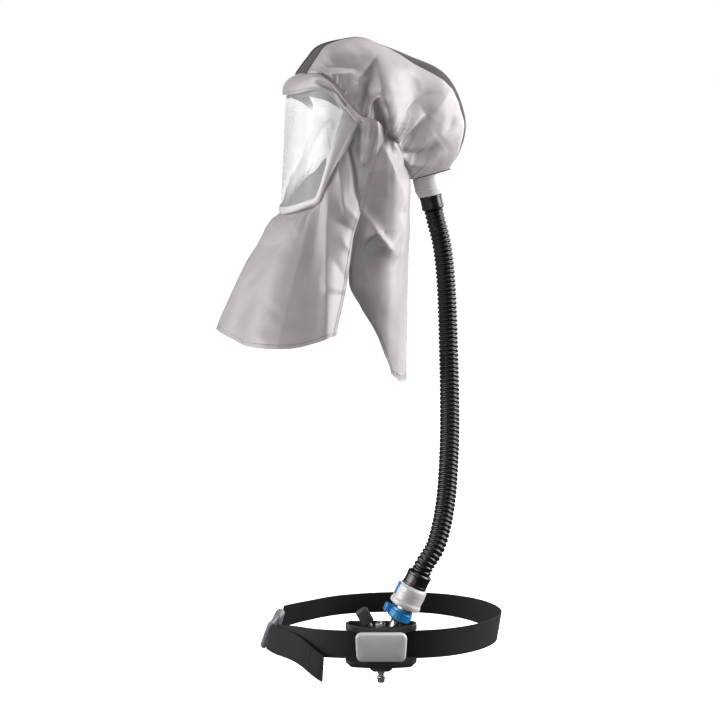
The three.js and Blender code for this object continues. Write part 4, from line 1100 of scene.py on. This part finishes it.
def make_gathers():
    """Where the bib is gathered under the ear, its cloth stands up in a pleat over the head part's edge."""
    a, b = grid(70, 60)
    row = read(GATHER, "share", a)
    turn = mix(row.front_turn, row.back_turn, b)
    base = cape_surface(BIB, BIB_FOLDS, BIB_SWELLS, turn, row.down, 4)
    outward = unit((base - (0, AXIS_Y, 0)) * (1, 1, 0))
    lower = ease((a - 0.15) / 0.4)
    sunk = mix(0.45, 1.2, lower) * np.exp(-b / mix(0.07, 0.3, lower))
    face = np.interp(b, (0, 0.58, 0.66, 1), (0.35, 1.2, 1.2, 0.1))
    stand = row.stand * np.where(row.stand > 0, face - sunk, 1)
    near_side = base + outward * stand[..., None] + points(0, 0, row.lift - 4 * b * (1 - a))
    for side, name in SIDES:
        add_cloth(f"bib_gather_{name}", near_side * (side, 1, 1), CLOTH, -side, GREY_CLOTH, "coated_cloth")


make_cape()
make_gathers()


# Turned and moulded pieces
def soften(corners, radius, closed=True, steps=3):
    """An outline with its corners rounded off."""
    corners = [np.array(corner, float) for corner in corners]
    outline = []
    for k, here in enumerate(corners):
        before = corners[k - 1]
        after = corners[(k + 1) % len(corners)]
        if not closed and k in (0, len(corners) - 1):
            outline.append(here)
            continue
        reach = min(radius, 0.45 * np.linalg.norm(before - here), 0.45 * np.linalg.norm(after - here))
        start = here + unit(before - here) * reach
        end = here + unit(after - here) * reach
        for t in np.linspace(0, 1, steps + 1):
            outline.append(start * (1 - t) ** 2 + here * 2 * t * (1 - t) + end * t**2)
    return np.array(outline)


def turned(outline, segments=48, radius=0.7, closed=True, flutes=None):
    """A piece turned on the Z axis from corners of radius and height. A closed outline leaves a hole, and
    an open one gets a flat face over both ends. flutes are how many, how deep, and from which height to
    which."""
    outline = soften(outline, radius, closed)
    angle = np.arange(segments) * 2 * np.pi / segments
    reach = np.repeat(outline[:, :1], segments, axis=1)
    if flutes:
        count, depth, low, high = flutes
        cut = (outline[:, 1] > low) & (outline[:, 1] < high) & (outline[:, 0] > 0.85 * outline[:, 0].max())
        reach = reach - depth * cut[:, None] * (0.5 - 0.5 * np.cos(count * angle)) ** 2
    rings = points(reach * np.cos(angle), reach * np.sin(angle), outline[:, 1:])
    if not closed:
        return ring_solid(rings)
    vertices, faces = ring_solid(np.concatenate([rings, rings[:1]]))
    last = len(outline) * segments
    wrapped = [tuple(v % last for v in face) for face in faces[:-2]]
    return rings.reshape(-1, 3), wrapped


def slab(width, depth, corner, height, bevel=0.0, round_off=0.5, step=None, dome=()):
    """A plate with a rounded outline on X and Y, from z = 0 up to its height, with bevelled edges. With a
    step, its long sides are split that finely in X, so that they can be bent. A dome is more rings on
    its top, as far in and as high as it says."""
    profile = [(bevel, 0), (0, bevel), (0, height - bevel), (bevel, height)]
    if bevel == 0:
        profile = [(round_off, 0), (0, 0), (0, height), (round_off, height)]
    rings = []
    for inset, z in [*soften(profile, round_off, closed=False), *dome]:
        w = width / 2 - inset
        d = depth / 2 - inset
        r = max(corner + bevel - inset, 0.2)
        outline = []
        for quarter, (x, y) in enumerate(((1, 1), (-1, 1), (-1, -1), (1, -1))):
            for angle in np.linspace(quarter, quarter + 1, 7) * np.pi / 2:
                outline.append((x * (w - r) + r * np.cos(angle), y * (d - r) + r * np.sin(angle), z))
            if step and quarter in (0, 2):
                across = np.linspace(x, -x, round(width / step))[1:-1]
                outline += [(u * (w - r), y * d, z) for u in across]
        rings.append(outline)
    return ring_solid(np.array(rings))


def shifted(part, x, y, z):
    return np.asarray(part[0]) + (x, y, z), part[1]


def carve(solid, tools, operation="DIFFERENCE"):
    """One closed solid with others cut out of it, or joined to it."""
    scratch = []
    for vertices, faces in (solid, *tools):
        mesh = bpy.data.meshes.new("scratch")
        mesh.from_pydata(np.asarray(vertices, float).tolist(), [], faces)
        scratch.append(bpy.data.objects.new("scratch", mesh))
        bpy.context.scene.collection.objects.link(scratch[-1])
    for tool in scratch[1:]:
        step = scratch[0].modifiers.new("cut", "BOOLEAN")
        step.operation = operation
        step.object = tool
        step.solver = "EXACT"
    shape = scratch[0].evaluated_get(bpy.context.evaluated_depsgraph_get()).to_mesh()
    vertices = np.array([v.co for v in shape.vertices])
    faces = [tuple(p.vertices) for p in shape.polygons]
    for scrap in scratch:
        bpy.data.meshes.remove(scrap.data)
    return vertices, faces


def add_hard(name, part, place, material, slot, *nodes, body="hood", sharp=38):
    return add_piece(name, moved(place, part[0]), part[1], material, slot, *nodes, body=body, sharp=sharp)


SPIGOT_RADIUS = 15.7
SPIGOT_LENGTH = 16
CUFF_BORE = 16
UPPER_CUFF_RADIUS = 20.5
LOWER_CUFF_RADIUS = 22
RING_HEIGHT = 20


def make_inlet_connector():
    neck = INLET_HOLE - 0.8
    foot = -CONNECTOR_LENGTH
    outline = [
        (13, 8), (neck, 8), (neck, -2.6), (27.5, -2.6), (27.5, -6), (25.5, -8), (25.5, -27), (24.8, -27.8),
        (24.8, -28.8), (25.5, -29.6), (25.5, -33), (22, foot), (SPIGOT_RADIUS, foot),
        (SPIGOT_RADIUS, foot - SPIGOT_LENGTH), (13, foot - SPIGOT_LENGTH),
    ]
    add_hard("inlet_spigot", turned(outline), INLET_PLACE, WHITE_ABS, "white_plastic", "inlet_connector")


def cuff(radius):
    foot = -CUFF_LENGTH
    return turned(
        [
            (CUFF_BORE, 0), (radius, 0), (radius, -4), (radius - 0.6, -4.6), (radius - 0.6, foot + 7),
            (radius, foot + 6), (radius, foot + 3), (radius - 2.5, foot), (CUFF_BORE, foot),
        ]
    )


def make_cuffs():
    upper = INLET_PLACE @ Matrix.Translation((0, 0, -CONNECTOR_LENGTH - JOIN_GAP))
    add_hard("upper_hose_cuff", cuff(UPPER_CUFF_RADIUS), upper, RUBBER, "black_rubber", "upper_cuff")
    turn = Matrix.Rotation(math.pi, 4, "X")
    lower = STEM_PLACE @ Matrix.Translation((0, 0, COUPLING_TOP + JOIN_GAP)) @ turn
    add_hard("lower_hose_cuff", cuff(LOWER_CUFF_RADIUS), lower, RUBBER, "black_rubber", "lower_cuff")


def make_coupling():
    foot, top = COUPLING_FOOT, COUPLING_TOP
    outline = [
        (13.4, foot), (25, foot), (28, foot + 2.5), (28, foot + 8), (26.2, foot + 12), (26.5, top - 16),
        (26.3, top - 15.2), (26.3, top - 14.6), (26.6, top - 13.8), (26, top - 5), (23.5, top),
        (SPIGOT_RADIUS, top), (SPIGOT_RADIUS, top + SPIGOT_LENGTH), (13.4, top + SPIGOT_LENGTH),
    ]
    add_hard("hose_coupling_body", turned(outline), STEM_PLACE, WHITE_ABS, "white_plastic", "hose_coupling")
    shell = turned([(25, 0), (27.4, 1), (27.4, 21), (25, 22)], 72)
    keep = shifted(slab(14, 20, 3, 22, 0, 0.4), -29, 0, 0)
    inlay = shifted(carve(shell, [keep], "INTERSECT"), 0, 0, foot + 15)
    add_hard("coupling_grip_inlay", inlay, STEM_PLACE, BLUE_ACETAL, "blue_plastic", "grip_inlay")


def make_locking_ring():
    outline = [
        (13.6, 0.5), (19.5, 0.5), (21.5, 3), (21.5, RING_HEIGHT - 6), (19.5, RING_HEIGHT - 4),
        (19.5, RING_HEIGHT), (13.6, RING_HEIGHT),
    ]
    grip = turned(outline, 96, flutes=(24, 0.7, 2.5, RING_HEIGHT - 6.5))
    lug = shifted(slab(15, 18, 4, 13, 0, 1), -23, 0, 5)
    bore = turned([(18, -30), (18, 30)], 48, closed=False)
    rib = shifted(slab(1.2, 15, 0.4, 11, 0, 0.3), -30.6, 0, 6)
    shape = joined(carve(grip, [carve(lug, [bore])], "UNION"), rib)
    finish = BLUE_ACETAL, "blue_plastic"
    add_hard("bayonet_ring", shape, STEM_PLACE, *finish, "locking_ring", body="locking_ring")


def make_outlet_stem():
    outline = [
        (6.5, -20), (9.5, -20), (9.8, -15), (9.8, -9), (10.6, -4), (13, -0.5), (13, COUPLING_TOP - 12),
        (10.5, COUPLING_TOP - 12), (7, 0),
    ]
    add_hard("outlet_stem_tube", turned(outline), STEM_PLACE, STEEL, "steel", "outlet_stem")
    outline = [(4.5, -1005.6), (9, -1005.6), (9, -995), (7, -993), (4.5, -993)]
    nut = turned(outline, 96, flutes=(24, 0.6, -1005, -995.2))
    place = on_belt(REGULATOR_X - 2, REGULATOR_Y - 6, 0)
    add_hard("knurled_nut", nut, place, STEEL, "steel", "outlet_nut")


HOUSING_WIDTH = 125
HOUSING_DEPTH = 40
HOUSING_TOP = -996
HOUSING_FOOT = -1071
TRAY_HEIGHT = 11.5
RIM_RISE = 3  # the front of the upper rim is a smile: up at its ends, down in the middle
RIM_DIP = 9.5
FOOT_DIP = 4
BELT_Z = -1038
BELT_FRONT_Y = -157
BELT_SLOT = 7


def make_regulator():
    height = HOUSING_TOP - HOUSING_FOOT
    upper_tray = slab(HOUSING_WIDTH, HOUSING_DEPTH, 12, TRAY_HEIGHT, 1.5, step=6)
    upper_tray = shifted(upper_tray, 0, 0, HOUSING_TOP - TRAY_HEIGHT)
    lower_tray = shifted(slab(HOUSING_WIDTH, HOUSING_DEPTH, 8, 20, 7, 1, step=6), 0, 0, HOUSING_FOOT)
    lower_top = shifted(slab(200, 100, 1, 20), 0, 0, HOUSING_FOOT + TRAY_HEIGHT)
    back_plate = slab(HOUSING_WIDTH - 8, 6, 2.5, height - 4)
    back_plate = shifted(back_plate, 0, HOUSING_DEPTH / 2 - 3, HOUSING_FOOT + 2)
    core = shifted(slab(80, 18, 4, height - 4), 0, -6, HOUSING_FOOT + 2)
    boss = shifted(slab(42, 26, 6, 12, 4, 0.8), 0, -1, HOUSING_FOOT - 8)
    pocket = shifted(slab(HOUSING_WIDTH - 9, HOUSING_DEPTH - 7, 8, 30, step=6), 0, 0, HOUSING_TOP - 10)
    slot = slab(HOUSING_WIDTH + 20, BELT_SLOT, 0.5, BELT_WIDTH + 3)
    slot = shifted(slot, 0, BELT_FRONT_Y - REGULATOR_Y + 1.5, BELT_Z - BELT_WIDTH / 2 - 1.5)
    bore = turned([(4.4, -15), (4.4, 15)], 32, closed=False)
    to_housing = REGULATOR_PLACE.inverted()
    bores = [shifted(bore, 0, -1, HOUSING_FOOT)]
    for place, radius in ((KNOB_PLACE, 5), (STEM_PLACE, 10)):
        drill = turned([(radius, -22), (radius, 2)], 40, closed=False)
        bores.append((moved(to_housing @ place, drill[0]), drill[1]))
    body = carve(upper_tray, [carve(lower_tray, [lower_top]), back_plate, core, boss], "UNION")
    shape, faces = carve(body, [pocket, slot, *bores])
    in_front = ease((-shape[:, 1] - 4) / 12)
    middle = 1 - np.minimum((2 * shape[:, 0] / HOUSING_WIDTH) ** 2, 1)
    upper = ease((shape[:, 2] - HOUSING_TOP + 24) / 10)
    lower = ease((HOUSING_FOOT + 20 - shape[:, 2]) / 10)
    shape[:, 2] += in_front * (upper * (RIM_RISE - RIM_DIP * middle) - lower * FOOT_DIP * middle)
    finish = BLACK_NYLON, "black_plastic"
    add_hard("regulator_body", (shape, faces), REGULATOR_PLACE, *finish, "regulator_housing", sharp=30)

    cover = slab(90, 51, 8, 16, 2.5, 2, dome=[(6, 16.9), (12, 17.6), (18, 18.1), (23, 18.3)])
    cover[0][:, 0] *= 1 - 0.06 * ease(-cover[0][:, 1] / 25)
    rib = slab(2.6, 1.1, 0.4, 0.9, 0, 0.3)
    ribs = [shifted(rib, side * 31, 2.9 * (k - 4), 17.2) for side in (-1, 1) for k in range(9)]
    upright = Matrix.Translation((0, -15 - JOIN_GAP, -1033.5)) @ Matrix.Rotation(math.pi / 2, 4, "X")
    place = REGULATOR_PLACE @ upright
    finish = PALE_ABS, "grey_plastic"
    add_hard("regulator_front_cover", joined(cover, *ribs), place, *finish, "regulator_cover", sharp=30)


def make_knob():
    outline = [(4.4, 20), (4.4, 0), (10.5, 0), (11.5, 1.5), (11.5, 22), (11, 26), (9, 28), (4, 28.5)]
    grip = turned(outline, 120, closed=False, flutes=(20, 0.8, 2.5, 22))
    add_hard("flow_knob_grip", grip, KNOB_PLACE, SOFT_GRIP, "black_rubber", "flow_knob", body="flow_knob")
    stem = turned([(3.4, -9), (4, -8.4), (4, 18.9), (3.4, 19.5)], 32, closed=False)
    add_hard("knob_spindle", stem, KNOB_PLACE, STEEL, "steel", "knob_stem")


def make_nipple():
    outline = [
        (2.5, -1102), (5.2, -1102), (6.4, -1100.5), (6.4, -1097), (7, -1095), (7, -1091), (5, -1089),
        (5, -1086.5), (6.6, -1084.5), (6.6, -1079.5), (4.1, -1079.5), (4.1, -1064), (2.5, -1064),
    ]
    place = on_belt(REGULATOR_X, REGULATOR_Y - 1, 0)
    add_hard("air_line_nipple", turned(outline, 40, 0.4), place, STEEL, "steel", "inlet_nipple")


make_inlet_connector()
make_cuffs()
make_coupling()
make_locking_ring()
make_outlet_stem()
make_regulator()
make_knob()
make_nipple()


# The belt, from its buckle past the regulator and round the loop back to the buckle
BELT = table(
    "at x y z lean_x lean_y",
    (0, -185, -10, -1056, 12, -4),
    (1, -174, -53, -1051, 8, -3),
    (2, -147, -94, -1044, 4, 0),
    (3, -105, -135, -1040, 0, 0),
    (4, -54, -155, -1038, 0, 0),
    (5, 10, -157, -1038, 0, 0),
    (6, 74, -155, -1038, 0, 0),
    (7, 132, -138, -1038, 0, 0),
    (8, 184, -100, -1038, 3, -2),
    (9, 220, -45, -1038, 6, -4),
    (10, 229, 16, -1038, 8, -7),
    (11, 213, 80, -1038, 7, -12),
    (12, 175, 137, -1038, 5, -18),
    (13, 114, 178, -1038, 2, -23),
    (14, 26, 190, -1038, 0, -25),
    (15, -66, 165, -1038, 2, -26),
    (16, -134, 108, -1038, 5, -24),
    (17, -174, 66, -1039, 10, -16),
)
TAIL = table(
    "at x y z lean_x lean_y",
    (0, -193, -13, -1057, 12, -4),
    (1, -179.5, -56, -1055, 6, -3),
    (2, -153.5, -98, -1054, 2, 0),
    (3, -133, -124, -1059, 2, -2),
    (4, -108, -148, -1074, 3, -6),
    (5, -93, -161, -1081, 3, -8),
)
BELT_STEPS = 300
SPLICE = (14.6, 14.68)  # where the belt's own end is sewn down, on the inside


def strap(rows, along_count):
    a, b = grid(along_count, 12)
    row = read(rows, "at", a * rows["at"][-1])
    height = np.sqrt(BELT_WIDTH**2 - row.lean_x**2 - row.lean_y**2)
    middle = points(row.x, row.y, row.z)
    edge = points(row.lean_x, row.lean_y, height)
    surface = (middle + edge * (b - 0.5)[..., None]).reshape(-1, 3)
    return moved(BELT_PLACE, surface).reshape(along_count + 1, 13, 3)


BUCKLE_FAR = Vector((-177, 62, -1040))
BUCKLE_NEAR = Vector((-199, -4, -1060))
BUCKLE_UP = Vector((0.34, -0.22, 0.92))
BUCKLE_HEIGHT = 58
BUCKLE_THICK = 8


def buckle_place():
    lengthwise = (BUCKLE_NEAR - BUCKLE_FAR).normalized()
    outward = lengthwise.cross(BUCKLE_UP).normalized()
    upward = outward.cross(lengthwise)
    turn = Matrix((lengthwise, upward, outward)).transposed().to_4x4()
    return BELT_PLACE @ Matrix.Translation(BUCKLE_FAR) @ turn


def make_belt():
    belt = strap(BELT, BELT_STEPS)
    tail = strap(TAIL, 80)
    add_cloth("waist_belt_webbing", belt, BELT_THICK, 1, WEBBING, "webbing", "waist_belt")
    add_cloth("belt_tail_webbing", tail, BELT_THICK, 1, WEBBING, "webbing", "belt_tail")
    hem = [seam_line(tail.swapaxes(0, 1), -1, inset) for inset in (6, 34)]
    backed = belt + normals(belt, -1) * (BELT_THICK + THREAD_RADIUS / 2)
    splice = [backed[round(BELT_STEPS * at / BELT["at"][-1]), 1:-1] for at in SPLICE]
    sew("belt_stitching", hem + splice, BLACK_THREAD, "webbing")
    place = buckle_place()
    half = BUCKLE_THICK / 2
    outer = shifted(slab(38, BUCKLE_HEIGHT, 5, BUCKLE_THICK, 1.5), 53, 0, -half)
    window = shifted(slab(20, BELT_WIDTH + 1, 2, 40), 53, 0, -20)
    end_bar = shifted(slab(13, BUCKLE_HEIGHT + 1, 2, 13, 4, 2), 66, 0, -6.5)
    bar = carve(carve(outer, [window]), [end_bar], "UNION")
    finish = GREY_ABS, "grey_plastic"
    add_hard("buckle_frame_bar", bar, place, *finish, "buckle_frame", sharp=30)
    body = shifted(slab(34, BUCKLE_HEIGHT - 6, 9, BUCKLE_THICK + 7, 4, 2), 16.5, 0, -half - 3.5)
    slot = shifted(slab(7, BELT_WIDTH - 8, 2, 40), 22, 0, -20)
    add_hard("buckle_tongue_plate", carve(body, [slot]), place, *finish, "buckle_tongue", sharp=30)


make_belt()


# Studio: a pale floor below the part, five soft boxes and a white card
FLOOR_Z = -1.13
FLOOR_REACH = 400
ROOM_LIGHT = 0.13  # what the white room adds to the lights
LIGHT_AIM = Vector((0, 0, -0.4))
# Towards the camera, to its right and up, from the aim, in metres; width and height; power in watts. A card
# is seen only in gloss.
LIGHTS = [
    ("soft_box_right", 0.1, 2.3, 0.7, 1.4, 2.2, 92),
    ("soft_box_left", 0.2, -2.2, 0.4, 1.8, 2.2, 51),
    ("soft_box_front", 2.8, -1.0, 0.1, 1.6, 1.6, 11),
    ("soft_box_above", 0.0, 0.5, 2.5, 1.8, 1.8, 27),
    ("soft_box_behind", -1.7, 1.7, 0.5, 1.4, 2.2, 28),
    ("white_card_left", 1.3, -1.9, 0.3, 1.4, 1.2, 42),
]


def make_studio():
    for name, near, right, up, width, height, power in LIGHTS:
        data = bpy.data.lights.new(name, "AREA")
        data.shape = "RECTANGLE"
        data.size = width
        data.size_y = height
        data.energy = power
        light = bpy.data.objects.new(name, data)
        light.visible_camera = False
        light.visible_diffuse = "card" not in name
        light.location = LIGHT_AIM + Vector(TOWARD * near + ASIDE * right + (0, 0, up))
        light.rotation_euler = (LIGHT_AIM - light.location).to_track_quat("-Z", "Y").to_euler()
        bpy.context.scene.collection.objects.link(light)
    white = linear("#ffffff")
    finish = {"Base_Color": linear("#f4f4f4"), "Roughness": 0.9, "Emission_Color": white}
    paper = start_material("matt_paper", Emission_Strength=1.0, **finish)
    mesh = bpy.data.meshes.new("floor")
    corners = np.array([(-1, -1), (1, -1), (1, 1), (-1, 1)]) * FLOOR_REACH
    mesh.from_pydata([(x, y, FLOOR_Z) for x, y in corners], [], [(0, 1, 2, 3)])
    mesh.materials.append(paper)
    floor = bpy.data.objects.new("floor", mesh)
    bpy.context.scene.collection.objects.link(floor)
    floor.visible_diffuse = False
    floor.visible_glossy = False

    world = bpy.data.worlds.new("white_room")
    world.use_nodes = True
    bpy.context.scene.world = world
    background = world.node_tree.nodes["Background"].inputs
    background["Color"].default_value = white
    seen = add_node(world, "LightPath", {}, "Is Camera Ray")
    level = add_node(world, "MapRange", {"Value": seen, "To Min": ROOM_LIGHT, "To Max": 1.0})
    world.node_tree.links.new(level, background["Strength"])
    bpy.context.scene.view_settings.view_transform = "Standard"


make_studio()
